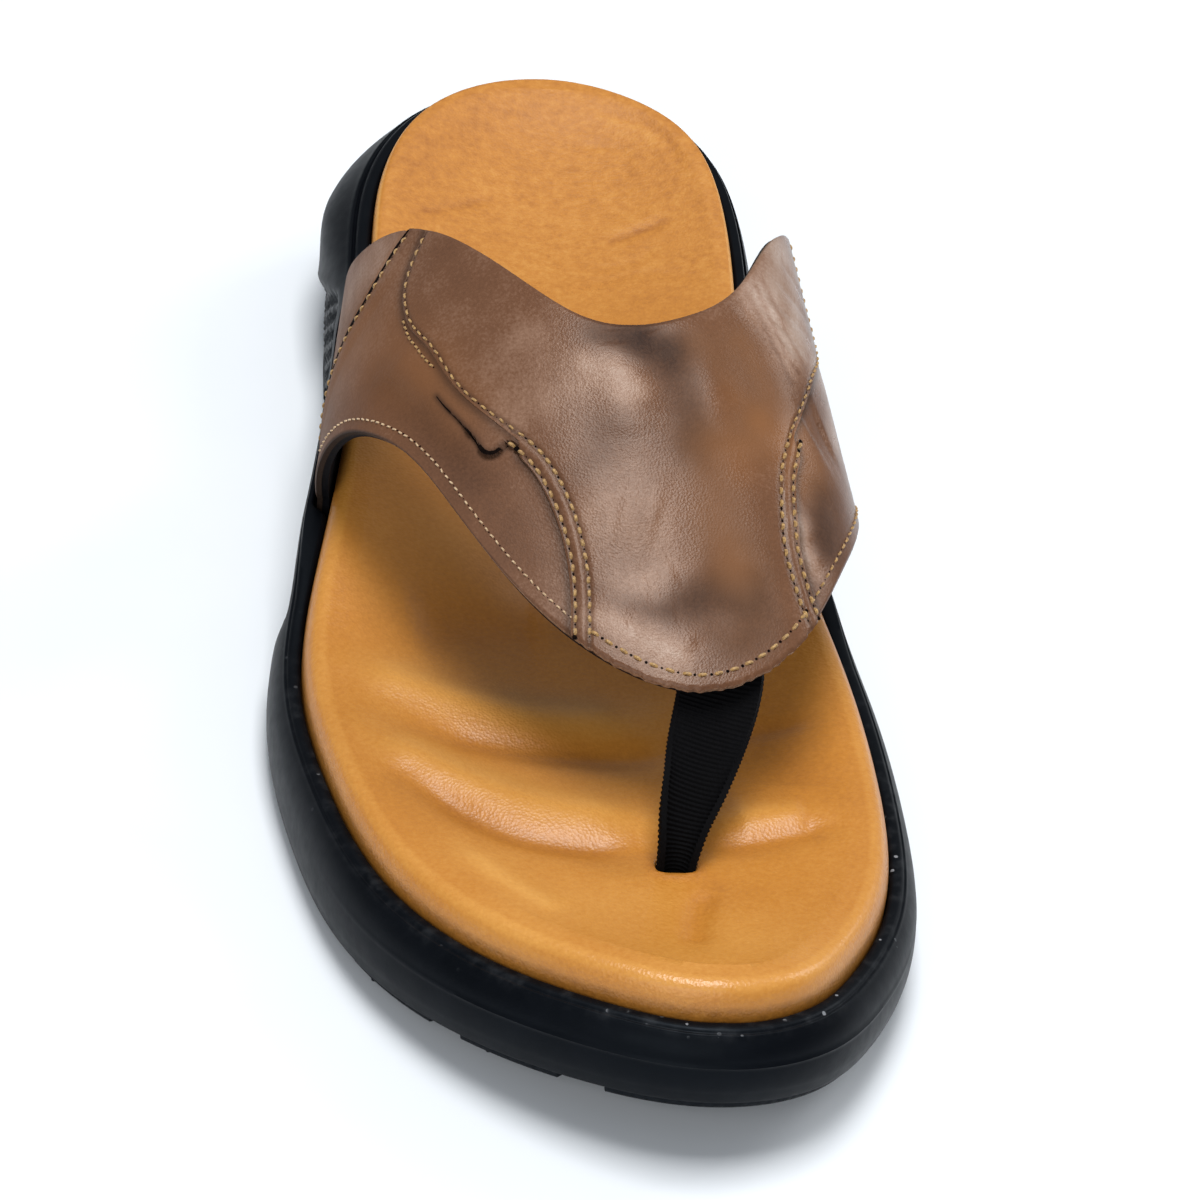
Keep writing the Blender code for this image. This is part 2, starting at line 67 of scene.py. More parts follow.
# rim is the height of the sole's rim, the flares are how far the sole stands out past the
# footbed's edge, seat is how deep the footbed lies below the rim, crest how far its edge rises
# above the rim, and dish how far its middle sinks below the crest.
Girdle = namedtuple("Girdle", "station medial lateral rim medial_flare lateral_flare seat crest dish")
GIRDLES = rows_of(
    Girdle,
    (0.0, 11.5, 11.5, 26.4, 6.5, 6.5, 5.5, 5.5, 0.5),
    (6.0, 27.0, -6.9, 25.0, 6.5, 6.5, 5.5, 5.5, 0.8),
    (18.0, 35.6, -23.2, 22.2, 6.4, 6.5, 5.5, 5.5, 1.6),
    (40.0, 44.5, -39.7, 19.2, 6.0, 6.4, 5.5, 5.4, 2.4),
    (70.0, 47.0, -49.3, 17.6, 5.6, 5.8, 5.5, 5.2, 3.0),
    (100.0, 45.0, -52.7, 17.9, 5.5, 5.5, 5.5, 4.8, 2.8),
    (135.0, 37.7, -47.7, 23.6, 5.5, 5.5, 5.6, 4.0, 2.2),
    (170.0, 33.0, -42.2, 27.2, 5.7, 5.8, 6.0, 3.2, 2.4),
    (205.0, 33.9, -37.6, 28.8, 5.7, 9.0, 7.0, 2.6, 3.6),
    (235.0, 33.9, -35.1, 31.8, 5.8, 10.0, 8.6, 2.4, 5.6),
    (257.0, 27.2, -26.8, 35.0, 6.2, 9.0, 9.6, 2.4, 4.6),
    (267.0, 15.3, -15.5, 36.2, 7.0, 8.0, 9.8, 2.3, 1.6),
    (FOOTBED_LENGTH, 0.2, 0.2, 36.6, 7.5, 7.5, 9.8, 2.2, 0.3),
)

LUG_DEPTH = 3.5
TOE_SPRING = 9.5
SPRING_END = 70.0
ARCH_START = 128.0
ARCH_END = 192.0
ARCH_RISE = 2.0
BEVEL_START = 258.0
BEVEL_LENGTH = 21.0
HEEL_BEVEL = 3.0

Wall = namedtuple("Wall", "reach height")
WALLS = rows_of(
    Wall,
    (0.80, 0.00),
    (1.00, 0.14),
    (1.00, 0.45),
    (0.78, 0.74),
    (0.36, 0.93),
    (0.00, 1.00),
)
RIM_WIDTH = 2.2
UPPER_WALL = 2.6
POCKET_WIDTH = UPPER_WALL + 2 * GAP
POCKET_RIM = 1.1
POCKET_RAMP = 2.5
RIM_RAMP = 26.0
Pocket = namedtuple("Pocket", "side start end")
POCKETS = rows_of(
    Pocket,
    (MEDIAL, 129.0, 185.5),
    (LATERAL, 140.5, 190.5),
)

Section = namedtuple(
    "Section", "station crown_x crown_z lateral_power medial_power lateral_bulge medial_bulge"
)
SECTIONS = rows_of(
    Section,
    (55.0, 14.5, 42.0, 2.00, 2.2, 0.0, 0.0),
    (62.0, 14.0, 46.0, 1.95, 2.2, 0.0, 0.5),
    (80.0, 12.0, 55.0, 1.90, 2.3, 0.0, 1.0),
    (100.0, 7.0, 66.0, 1.90, 2.4, 0.5, 2.0),
    (123.0, 3.0, 78.0, 1.90, 2.6, 1.5, 2.5),
    (150.0, 0.0, 85.5, 1.95, 3.2, 3.0, 2.5),
    (190.0, -1.0, 92.0, 2.00, 3.6, 4.5, 2.5),
)

Cut = namedtuple("Cut", "angle front rear")
CUTS = rows_of(
    Cut,
    (0.0, 142.0, 189.0),
    (14.0, 136.0, 186.0),
    (27.0, 129.0, 176.5),
    (39.0, 119.0, 168.0),
    (52.0, 102.0, 157.5),
    (61.0, 82.5, 147.0),
    (70.0, 69.8, 135.0),
    (79.0, 63.6, 125.8),
    (88.0, 61.9, 123.4),
    (100.0, 65.0, 126.0),
    (115.0, 74.0, 135.2),
    (128.0, 86.0, 150.5),
    (142.0, 101.5, 165.5),
    (156.0, 116.0, 176.5),
    (180.0, 130.0, 184.0),
)

# thickness is how deep the folded webbing is from its back to the ends of its two legs.
Post = namedtuple("Post", "station x lift width thickness")
POSTS = rows_of(
    Post,
    (43.0, 8.3, 0.3, 6.6, 4.4),
    (43.0, 8.3, 9.0, 6.6, 4.4),
    (44.2, 8.7, 12.6, 7.6, 4.6),
    (47.2, 9.6, 16.2, 9.4, 4.6),
    (51.5, 11.2, 19.8, 11.4, 4.2),
    (57.0, 13.0, 23.2, 13.4, 3.4),
)
POST_UNDER_UPPER = (68.0, 74.0, 80.0)
POST_ANGLE = 93.0
POST_END_WIDTH = 15.4
POST_END_THICKNESS = 2.6

# Lugs along the sole's edge, and how far each reaches inwards. notch is the share of its length
# that stops short, which makes it L-shaped.
EdgeLug = namedtuple("EdgeLug", "side start end depth notch")
EDGE_LUGS = rows_of(
    EdgeLug,
    (MEDIAL, 16.0, 27.0, 15.0, 0.0),
    (MEDIAL, 31.0, 42.0, 17.0, 0.0),
    (MEDIAL, 46.5, 66.0, 19.0, 0.45),
    (MEDIAL, 71.0, 90.0, 19.0, 0.45),
    (MEDIAL, 95.0, 114.0, 18.0, 0.45),
    (MEDIAL, 119.0, 138.0, 16.0, 0.45),
    (LATERAL, 8.0, 20.0, 9.0, 0.0),
    (LATERAL, 24.0, 42.0, 11.0, 0.4),
    (LATERAL, 46.5, 67.0, 16.0, 0.4),
    (LATERAL, 72.0, 93.0, 16.0, 0.4),
    (LATERAL, 98.0, 118.0, 16.0, 0.4),
    (LATERAL, 122.5, 138.0, 15.0, 0.4),
)
HEEL_LUG_STATIONS = ((188.0, 205.5), (208.5, 226.0), (229.0, 245.0), (248.0, 261.0))
HEEL_LUG_DEPTH = 13.5
TOE_BUMPER = EdgeLug(0, 10.5, 4.5, 16.0, 0.0)
HEEL_BUMPER = EdgeLug(0, 264.5, 264.5, 13.0, 0.0)
LUG_EDGE_INSET = 0.9
LUG_EDGE_STEPS = 12
NOTCH_DEPTH = 0.45  # the share of a lug's depth that its notch takes away
NOTCH_RAMP = 0.12
CHEVRON_OUTLINE = (
    (19.8, 10.4), (19.0, 7.4), (8.3, -2.8), (0.0, 0.0), (-8.6, -4.2), (-25.2, -0.6), (-27.1, 4.1),
    (-24.7, 8.0), (-13.5, 7.9), (-8.9, 13.6), (-1.8, 13.9), (5.8, 8.1), (13.5, 13.5),
)
CHEVRON_BAR = ((0.0, 0.6), (-4.6, 13.0))
Chevron = namedtuple("Chevron", "x station wider longer")
CHEVRONS = rows_of(
    Chevron,
    (5.0, 24.5, 1.00, 1.00),
    (0.5, 45.0, 1.08, 1.08),
    (-3.5, 69.0, 1.12, 1.25),
    (-6.5, 96.5, 1.02, 1.25),
)

# Sizes of the looks

SPAN_STEPS = 24  # points from one of a line's given points to the next
OUTLINE_STEPS = 200
SOLE_STEPS = 400
SOLE_CROSS_STEPS = 20
WALL_ROWS = 41
RIM_ROWS = 25
FOOTBED_STEPS = 380
FOOTBED_CROSS_STEPS = 110
PANEL_STEP = 0.75
NOISE_ROUGHNESS = 0.55
EDGE_TICKS = (0.15, 0.4, 0.75, 1.15, 1.55, 1.95, 2.35, 2.8, 3.3, 3.9)
EDGE_CLEAR = 1.3  # even steps begin this many times further in than the last edge tick

# The footbed's rolled edge: inset from the edge, and the share of the crest reached there.
Roll = namedtuple("Roll", "inset share")
ROLLS = rows_of(
    Roll,
    (0.0, -0.3),
    (0.03, 0.0),
    (0.15, 0.25),
    (0.37, 0.46),
    (0.70, 0.64),
    (1.15, 0.80),
    (1.65, 0.91),
    (2.20, 0.98),
    (2.80, 1.02),
    (3.50, 1.035),
    (4.40, 1.03),
    (5.60, 1.01),
    (7.20, 1.0),
)
ROLL_GLOSS = (1.2, 3.8)  # insets between which the roll is glossier, and round the toe painted paler as a highlight
FRAY_AND_SHADE_SHARE = 0.4  # the roll's foot, where it meets the rim, is frayed and darkened with painted shade up to this share of the crest; above it the heel's edge carries a painted highlight
# up to this share of the crest the heel's edge carries a painted highlight
EDGE_HIGHLIGHT_SHARE = 0.95
HEEL_ROLL_SHARE = 0.5  # the roll is tighter behind the arch
HEEL_CREST = 1.3  # the heel's edge stands this much higher
HEEL_CREST_START = 212.0
HEEL_CREST_RAMP = 40.0
HEEL_FLATTER = 0.8  # and its dish is this much shallower
HEEL_ROLL_START = 120.0
HEEL_ROLL_END = 200.0
HEEL_START = 190.0  # the leather is mottled and wrinkled behind this station
HEEL_RAMP = 25.0

# Soft ridges and troughs of the footbed, along lines of (x, station).
STROKE_END = 0.35  # the share of its height that a stroke keeps at its ends
STROKE_FADE = 0.2  # the share of its length over which it falls to that
Stroke = namedtuple("Stroke", "height width points")
BED_STROKES = rows_of(
    Stroke,
    (-1.2, 10.0, ((-34, 107), (-21, 109), (-8, 109.5))),
    (1.6, 5.5, ((-43, 95.5), (-33, 91), (-19, 87), (-6, 85.5), (6, 86))),
    (-1.2, 3.4, ((-33, 79.5), (-17, 76.5), (0, 75.5), (10, 77))),
    (1.8, 5.5, ((-41, 77), (-32, 69.5), (-21, 63), (-9, 58.5), (4, 56.5))),
    (-1.4, 3.2, ((-36, 65), (-22, 52.5), (-10, 48.5), (3, 47.8))),
    (0.7, 4.5, ((-29, 46), (-20, 34), (-12, 25.5))),
    (-0.7, 2.0, ((19, 81), (28, 83.7), (36, 85.5))),
    (1.2, 4.5, ((19, 57.5), (26, 58), (33, 58.5))),
    (-1.1, 3.0, ((14, 48.5), (23, 50.5), (30, 52.5), (36, 54))),
    (-1.1, 2.6, ((14, 37), (11.3, 30), (9.8, 23), (8.8, 17))),
    (-0.7, 9.0, ((26, 95), (31, 75), (31, 66))),
    (-0.32, 1.3, ((11.2, 226.8), (16.8, 229.1), (22.3, 231.1))),
    (0.12, 2.2, ((11.0, 229.5), (16.5, 232.0), (22.0, 234.0))),
    (-0.20, 1.1, ((8.6, 262.1), (15.3, 259.5), (20.2, 256.7), (24.1, 250.9), (25.8, 245.3))),
    (-0.16, 1.1, ((4.9, 254.0), (9.9, 253.2), (14.9, 251.0), (15.3, 241.3))),
    (-0.20, 1.2, ((-27.8, 228.7), (-19.1, 233.7), (-12.1, 237.7))),
    (-0.18, 1.2, ((3.9, 211.5), (10.7, 214.5), (17.4, 215.9), (24.6, 213.7), (29.9, 209.2))),
    (-0.18, 1.2, ((6.0, 218.3), (12.7, 218.8), (17.9, 221.9), (17.3, 224.8))),
)
# Paler and darker streaks of the footbed: painted shade in the heel's creases with painted highlight on the
# ridges beside them, and broader pale and dark patches; their tone stands in the height's column.
BED_TONES = rows_of(
    Stroke,
    (0.28, 1.8, ((-29, 46), (-22, 36.5), (-14, 27.5))),
    (0.2, 1.2, ((-26, 39), (-19.5, 31.5), (-13, 25))),
    (-0.45, 0.9, ((11.2, 226.8), (16.8, 229.1), (22.3, 231.1))),
    (0.12, 1.8, ((11.0, 229.3), (16.5, 231.6), (22.0, 233.6))),
    (0.3, 1.4, ((8.6, 260.6), (15.3, 258.0), (19.8, 255.2), (23.0, 249.9))),
    (-0.3, 1.0, ((-27.8, 228.7), (-19.1, 233.7), (-12.1, 237.7))),
    (-0.25, 7.0, ((-10.0, 262.0), (-22.0, 250.0), (-28.0, 236.0))),
    (0.34, 20.0, ((-24, 34), (-6, 22), (10, 17), (28, 28))),
)
SWELL_TONE = 0.35  # painted highlight on the ridges and painted shade in the troughs, within a limit
SWELL_TONE_LIMIT = 0.5
# painted shade round the toe post's slot
SLOT_TONE = -0.5
ROLL_TONE = 0.3  # the rolled edge carries a painted highlight round the toe
HEEL_EDGE_TONE = 0.8  # the heel's edge carries a painted highlight
SLOT_LIP = 0.5
SLOT_LIP_WIDTH = 1.6
SLOT_POWER = 3.5
SLOT_CLEARANCE = 0.25
SLOT_STEPS = 48
CUTTER_DROP = 3.0  # how far below the seat the slot's cutter begins
CUTTER_HEIGHT = 25.0

# The upper's panels: the sewn line of each seam as (angle, station) from the collar to the front.
# From its double station a second row is sewn, and the panel's cut edge lies further out.
LATERAL_SEAM = (
    (51.9, 157.2), (48.8, 153.3), (46.6, 149.2), (45.9, 145.4), (46.4, 141.2), (48.2, 136.0), (52.0, 129.4),
    (56.1, 120.5), (61.3, 112.8), (66.4, 106.8), (70.1, 101.4), (72.0, 94.9), (72.5, 88.2), (72.0, 81.2),
    (71.1, 75.2), (70.2, 69.7),
)
MEDIAL_SEAM = (
    (139.6, 163.2), (141.8, 156.5), (142.8, 148.5), (142.4, 140.0), (138.8, 132.5), (133.5, 126.0),
    (128.5, 119.0), (124.2, 113.8), (120.5, 109.5), (116.7, 104.2), (114.2, 99.5), (112.0, 92.0),
    (111.2, 86.8), (111.8, 82.5), (113.2, 78.0), (115.8, 74.6),
)
REAR_SEAM = (
    (47.2, 161.4), (42.2, 159.0), (37.0, 156.5), (32.0, 155.0), (26.0, 154.6), (20.0, 154.2), (10.0, 153.6),
    (0.0, 153.0),
)
LATERAL_DOUBLE = 105.5
MEDIAL_DOUBLE = 107.5
DOUBLE_GAP = 2.4
SHORT_ROW = ((45.1, 140.5), (46.6, 135.2), (48.4, 131.7), (50.0, 128.4), (52.1, 125.0))
DOUBLE_RAMP = 0.04  # shares of the seam over which it widens, and runs from turned to cut edge
TURNED_LEAD = 0.05
TURNED_RAMP = 0.06
SEAM_START = 0.01  # shares of the seam between which it is sewn
SEAM_END = 0.985
ROW_MARGIN = 0.8  # from a row of stitches to the cut edge beside it
FRONT_MARGIN = 2.4  # from the front edge to its row of stitches
UNDERLAP = 1.3
LEATHER = 1.0
LINING = 1.45
LINING_INSET = 0.15
LINING_GAP = 0.05
LINING_STEPS = (150, 70)  # points across the upper and along it
SEAM_STEP = 0.45
SEAM_LEATHER = 0.55
TURNED_STEP = 0.2  # the seam's step where its edge is turned under
TURNED_LEATHER = 0.3
SKIVE_START = 0.5  # the leather is thinnest up to this far from the edge
SEAM_CLEARANCE = 0.04
DIP_RAMP = 4.5
WELT = 0.2  # the leather stands up between two rows of stitches, and sinks along each row
WELT_WIDTH = 0.9
ROW_SINK = 0.16
ROW_SINK_WIDTH = 0.5
LIFT_FLAT = 3.5
LIFT_END = 16.0
EDGE_ROUND = 0.28
EDGE_ROUND_WIDTH = 2.5 * EDGE_ROUND
RAGGED = 0.5  # how far the tongue's cut edge wanders, in waves of these lengths and phases
RAGGED_WAVES = ((7.3, 0.0), (3.1, 1.0), (1.9, 2.0))
RAGGED_FADE = 0.05
FOOT_ROWS = 4  # rows of points that carry a panel's foot down into the sole
FOOT_STEPS = 60
CUT_STEPS = 160  # points along a cut edge, along a short one, and along the rear panel's tip
SHORT_CUT_STEPS = 20
TIP_STEPS = 8
EDGE_DARK = 0.15  # how dark the painted shade along the cut edges is
EDGE_DARK_WIDTH = 0.5
LOW_EDGE_DARK = 0.8  # and how much darker that painted shade is low on the sides, where the dark inside shows past the edge
LOW_EDGE = 38.0  # degrees from the crown
LOW_EDGE_RAMP = 20.0
MATTE_END = 76.0  # the upper's outer side is matte up to this angle
MATTE_RAMP = 22.0

# The slit beside the outer seam, with its half width.
SLIT = (
    (52.6, 118.9), (54.2, 116.1), (56.3, 113.0), (58.2, 109.8), (59.5, 107.5), (60.5, 105.4), (62.2, 104.6),
    (63.8, 105.3), (65.2, 105.3), (66.4, 104.2),
)
SLIT_WIDTHS = (0.08, 0.13, 0.14, 0.16, 0.20, 0.34, 0.42, 0.34, 0.24, 0.10)
SLIT_LIFT = 0.7  # the upper lip rises, the lower one sinks, and both fade towards the slit's start
SLIT_FADE = 0.6
SLIT_LIP_WIDTH = 4.5
SLIT_SINK = 0.4
SLIT_SINK_WIDTH = 1.5
REAR_WIDTHS = (0.3, 0.55, 0.4, 0.7, 0.5, 0.75, 0.45, 0.7, 0.5, 0.65, 0.4, 0.6, 0.35)
REAR_TIP = 1.2  # degrees that the rear panel keeps along the collar
REAR_OVER = 0.45  # the outer panel is raised beside the rear seam
REAR_OVER_FLAT = 2.5
REAR_OVER_RAMP = 4.0
REAR_SINK = 0.85  # and the rear panel sinks under it
REAR_SINK_FLAT = 0.6
REAR_SINK_RAMP = 2.0
GROOVE_STEPS = 90
GROOVE_TOP = 0.1
GROOVE_DEPTH = 0.3

# Painted shade along rows, seams and the slit: half width and depth.
Shadow = namedtuple("Shadow", "width depth")
ROW_SHADOW = Shadow(0.55, 0.45)
SLIT_SHADOW = Shadow(0.7, 0.65)
JOIN_SHADOW = Shadow(1.2, 0.6)
REAR_SHADOW = Shadow(0.9, 0.7)
REAR_PANEL_SHADOW = Shadow(1.1, 1.0)

# Soft dents and folds of the upper, along lines of (angle, station).
UPPER_STROKES = rows_of(
    Stroke,
    (-0.9, 3.8, ((37.6, 132.7), (44.1, 123.5), (48.8, 116.1), (52.7, 109.8), (58.3, 101.8))),
    (0.35, 4.0, ((42, 134), (48, 125), (54, 116))),
    (-0.35, 2.8, ((85, 122.5), (85, 119.5))),
    (-0.35, 2.8, ((91.5, 122.5), (93, 118.5))),
    (0.25, 4.5, ((85.5, 117), (84.5, 110), (84, 103))),
    (-0.4, 4.5, ((94, 118), (95.5, 112), (95, 107))),
    (0.25, 4.5, ((103, 118), (101.5, 110), (101, 102))),
    (-0.55, 6.0, ((111, 126), (115.5, 116.5), (114, 110.5), (109.5, 104.5))),
    (0.25, 6.0, ((79, 92), (86, 90))),
    (-0.15, 5.0, ((98, 88), (95, 78.5), (95.5, 73.0))),
    (0.3, 4.5, ((76, 75), (82, 72), (88, 68))),
    (0.15, 4.0, ((80.5, 79), (86.5, 81))),
    (-0.15, 4.0, ((84, 75.5), (90, 75.5))),
    (-0.22, 1.1, ((112.5, 130.5), (118.2, 127.0), (125.8, 123.8))),
    (-0.22, 1.0, ((115.0, 132.0), (121.0, 128.8), (128.8, 126.6))),
    (-0.24, 1.1, ((117.3, 133.4), (123.7, 130.7), (131.8, 129.3))),
    (-0.20, 1.1, ((122.2, 136.2), (128.6, 134.9), (135.9, 135.5))),
    (-0.18, 1.1, ((127, 141.5), (133, 140.5), (139, 141.5))),
    (-0.16, 1.1, ((131, 148), (136, 147), (141, 148))),
    (-0.45, 4.0, ((131, 103), (125, 99.5), (121, 97))),
    (0.3, 3.0, ((118, 95), (118.5, 88.7), (120, 84))),
    (-0.22, 1.6, ((114, 89), (119, 89.5), (126, 93.5))),
    (-0.20, 1.5, ((114.5, 84.5), (120, 85.5), (126, 89))),
    (-0.8, 6.0, ((128, 112), (135, 117))),
)

# The leather's tone and how warm it is, along lines of (angle, station): the pale lines are mostly painted
# highlights and sheen, the dark ones mostly painted dark reflections and painted shade in the ear's
# creases, with some of the leather's own mottling;
# the warmth is the leather's own colour.
Shade = namedtuple("Shade", "tone warm width points")
UPPER_SHADES = rows_of(
    Shade,
    (-0.5, 0.0, 4.4, ((82.5, 121.5), (86.5, 120.8))),
    (-0.5, 0.0, 4.6, ((91.0, 121.0), (94, 119.0))),
    (-0.6, 0.1, 5.2, ((93.5, 117), (95, 113.0), (97, 108.5), (97.5, 104))),
    (0.6, 0.0, 3.8, ((80.0, 115.5), (84, 114.6), (87, 112.0))),
    (-0.35, 0.4, 3.6, ((101.5, 121), (105.0, 116.2), (110.5, 109.5))),
    (0.3, 0.1, 3.6, ((104.5, 111.5), (102.4, 105.5), (105, 99.6))),
    (-0.4, 0.6, 6.5, ((99.5, 102.0), (98.5, 95.5), (97.5, 89.5), (98.0, 84.0))),
    (-0.45, 0.6, 4.5, ((112, 123), (116, 115.5), (114, 110.5), (109.5, 104.5))),
    (0.68, 0.0, 7.0, ((130, 150.5), (128, 141), (128.6, 135.2), (130, 130.7))),
    (0.35, 0.0, 4.0, ((117.4, 134.8), (119.7, 132.0), (122.3, 127.8), (123.7, 124.0))),
    (-0.26, 0.0, 0.8, ((116.5, 134.0), (118.5, 130.5), (121.5, 124.0), (124.0, 119.5))),
    (-0.28, 0.0, 0.7, ((119.4, 136.1), (121.3, 132.0), (124.2, 125.3), (127.4, 122.9))),
    (-0.24, 0.0, 0.7, ((122.5, 138.5), (124.5, 134.0), (127.5, 128.5), (130.5, 125.5))),
    (0.14, 0.0, 3.5, ((52.2, 142.9), (56.9, 143.8), (62.0, 144.8))),
    (0.18, 0.0, 3.5, ((62.0, 118.6), (65.5, 121.7), (68.8, 124.0))),
    (0.25, 0.0, 5.0, ((66.4, 110.8), (69.5, 112.0), (72.9, 115.3))),
    (-0.25, 0.0, 5.0, ((75, 98), (78, 100.5), (80.5, 105))),
    (0.2, 0.1, 7.0, ((78.5, 91.5), (86, 90))),
    (-0.7, 0.1, 4.8, ((88.0, 76.5), (92.0, 78.0), (98.0, 78.5))),
    (-0.35, 0.2, 5.0, ((97.0, 84.0), (99.0, 77.0), (97.0, 70.5))),
    (-0.3, 0.1, 4.5, ((93.0, 70.0), (99.0, 70.5), (104.0, 73.0))),
    (0.45, 0.0, 2.8, ((72.2, 74.4), (75.7, 71.9), (80.1, 69.4), (84, 67.2))),
    (0.3, 0.0, 3.2, ((76.3, 79.4), (81.8, 80.0), (86.5, 82.5))),
    (-0.3, 0.0, 2.6, ((73.5, 79.0), (78, 75.8), (82.5, 74.2))),
    (0.1, 0.6, 5.0, ((124, 110), (127, 106.5))),
    (-0.75, 0.1, 4.2, ((128, 102), (126, 97.7), (125.5, 91.8))),
    (0.65, 0.0, 2.4, ((117.4, 93), (117.8, 88.7), (119.7, 86))),
    (0.1, 0.5, 4.0, ((118, 106), (119.5, 100))),
    (0.45, 0.0, 4.0, ((142, 132), (145, 128.5), (141, 119))),
    (0.0, 0.45, 10.0, ((33, 150), (38, 140), (44, 130))),
    (0.0, 0.4, 8.0, ((14, 152), (24, 149))),
    (0.0, 0.35, 7.0, ((52, 122), (57, 114))),
    (-0.35, 0.0, 4.5, ((38, 132), (49, 116), (58, 102))),
    (-0.05, 0.0, 9.0, ((58, 97), (64, 88), (68, 80))),
    (0.4, 0.0, 8.0, ((38, 164), (26, 168), (20, 174))),
)

# Rows of stitches: how far apart they are, and the thread's own sizes.
SEAM_PITCH = 2.35
FRONT_PITCH = 2.9
PALE_PITCH = 1.65
PALE_THREAD = 0.17
FINE_THREAD = 0.22
BOLD_THREAD = 0.32
THREAD_SHARE = 0.62
THREAD_SIDES = 6
# Along half a stitch, from its end to its middle: how high the thread lies, and its share of the radius.
HALF_STITCH = ((-0.25, 0.6), (0.02, 0.95), (0.16, 1.0))
THREAD_PROFILE = (*HALF_STITCH, (0.20, 1.0), *HALF_STITCH[::-1])
STITCH_JITTER = 0.06  # shares of the pitch by which stitches wander along the row
STITCH_LEAN = 0.12  # how far a stitch's ends lean to the sides
HOLE_SHARE = 1.6  # a needle hole's radius to the thread's
HOLE_JITTER = (0.8, 1.2)
HOLE_SIDES = 8
HOLE_SINK = 0.06
HOLE_TOP = 0.12
HOLE_DEPTH = 0.2
HOLE_ASIDE = (0.3, 0.9, 0.1)  # a direction that no hole points in
ROW_ENDS = (0.002, 0.998)
REAR_ROW_SHIFT = 1.1
REAR_ROW = (0.02, 0.92)
REAR_GROOVE_SHIFT = 0.3
REAR_GROOVE = (0.0, 0.95)
FRONT_ROW_START = 12.0  # degrees between which the front edge is sewn, and the rows' distance at seams
FRONT_ROW_END = 166.0
SIDE_ROW_CLEAR = 0.6
TONGUE_ROW_CLEAR = 1.2

# The webbing of the toe post
WEBBING = 1.1
RIB_PITCH = 0.82
RIB_HEIGHT = 0.11
POST_COLUMNS = 30
ROWS_PER_RIB = 6
FOLD_TURN = math.radians(112)
FLAT_TURN = math.radians(28)
UNFOLD_START = 14.0  # the fold opens from this far up the post
UNFOLD_LENGTH = 26.0
FLAT_DEPTH = 0.35

# Details of the sole's wall. A rise is a share of the wall's height, and a reach one of its flare.
RIM_RISE = 0.8
RIM_RISE_RAMP = 0.1
RIM_TOP = ((0.6, 0.0), (0.3, 0.05), (0.12, 0.2), (0.0, 0.6))  # share of the rim's width, and drop
CREASE_REACH = 0.16
TOE_CREASE = 0.12
HEEL_CREASE = 0.75
CREASE_WIDTH = 0.055
LIP_REACH = 0.28
LIP_HEIGHT = 0.12
LIP_WIDTH = 0.06
PARTING_RISE = 0.58
PARTING_HEIGHT = 0.22
PARTING_WIDTH = 0.025
PARTING_END = 62.0
SKIRT = 1.2  # the wall's foot comes down this far between the lugs
SKIRT_RISE = 0.12
SKIRT_WIDTH = 1.0
KNURL_PITCH = 5.6
KNURL_RISE = 5.0
KNURL_DEPTH = 0.75
KNURL_START = 112.0
KNURL_RAMP = 14.0
KNURL_END = 252.0
KNURL_LEAN = 46.0
KNURL_STOP = 8.0
KNURL_TOP = 0.92
KNURL_TOP_RAMP = 0.12
WAIST_RECESS = 2.1
HEEL_BAND = 2.2  # how far the outer heel's smooth band swells past the plain wall
HEEL_BAND_RAMP = 26.0
HEEL_BAND_FADE = 14.0
HEEL_BAND_RISES = (0.05, 0.97)
HEEL_BAND_EASE = 0.3
DUST_END = 118.0
DUST_RAMP = 40.0
DUST_REACH = 0.05
DUST_SPREAD = 0.3
LUG_FACE = 0.35
LUG_ROUND = ((4.5, 0.7), (2.6, 0.05), (0.7, 0.0), (0.25, 0.2), (0.0, 0.65))
BAR_ROUND = ((0.9, 0.0), (0.35, 0.05), (0.1, 0.2), (0.0, 0.5))
SUNK_ROUND = ((1.6, 0.3), (0.3, 0.0), (0.0, 0.4))
PLATE_ROUND = ((1.6, 0.4), (0.3, 0.0), (0.0, 0.4))
CORNER_CUT = 0.2  # the share of a side that each cut of a corner takes
CORNER_CUTS = 2
BAR_TIP = 0.6  # a bar's blunt tip in half widths, and how wide it is there
BAR_TIP_WIDTH = 0.5
LUG_BAR = ((0.72, 0.1), (0.45, 0.65))  # a lug's bar runs between these shares of its length and depth
LUG_BAR_HALF = 0.7
TOE_BARS = (-1.0, 7.5, 16.0, 23.0)
TOE_BAR = ((0.0, 4.5), (1.0, 10.5))
TOE_BAR_HALF = 0.9
CHEVRON_BAR_HALF = 1.1
EDGE_BARS = ((-35.1, 48.1), (-41.3, 70.0), (-40.1, 94.0), (-33.5, 118.9))
EDGE_BAR = ((0.0, -3.5), (0.8, 3.5))
EDGE_BAR_HALF = 1.3
EDGE_BAR_FACE = 2.4
PLATE = ((-19.5, 122.5), (1.5, 122.5), (1.5, 153.5), (-19.5, 153.5))
PLATE_FACE = 2.7

# Camera, light and floor
CAMERA_PLACE = Vector((-0.10431, -0.72223, 0.54548))
CAMERA_AIM = Vector((0.0025, -0.0289, 0.030))
CAMERA_ROLL = math.radians(7.32)
CAMERA_LENS = 147.0
SENSOR = 36.0
CLIP = (0.05, 50)
FLOOR_HALF = 4.0
SKY_COLOUR = (0.89, 0.945, 1.0, 1)
SKY_STRENGTH = 0.30
LAMP_COLOUR = (1.0, 0.99, 0.97)
Softbox = namedtuple("Softbox", "name place aim size power")
SOFTBOXES = rows_of(
    Softbox,
    ("top_softbox", (0.0, -0.02, 1.3), (0.0, 0.0, 0.0), (0.45, 0.7), 14.0),
    ("side_softbox", (0.95, 0.45, 0.75), (0.0, 0.0, 0.03), (0.5, 0.5), 4.0),
    ("front_fill", (-0.45, -1.3, 0.75), (0.0, 0.0, 0.03), (1.3, 0.9), 8.0),
)


# Curves and tables

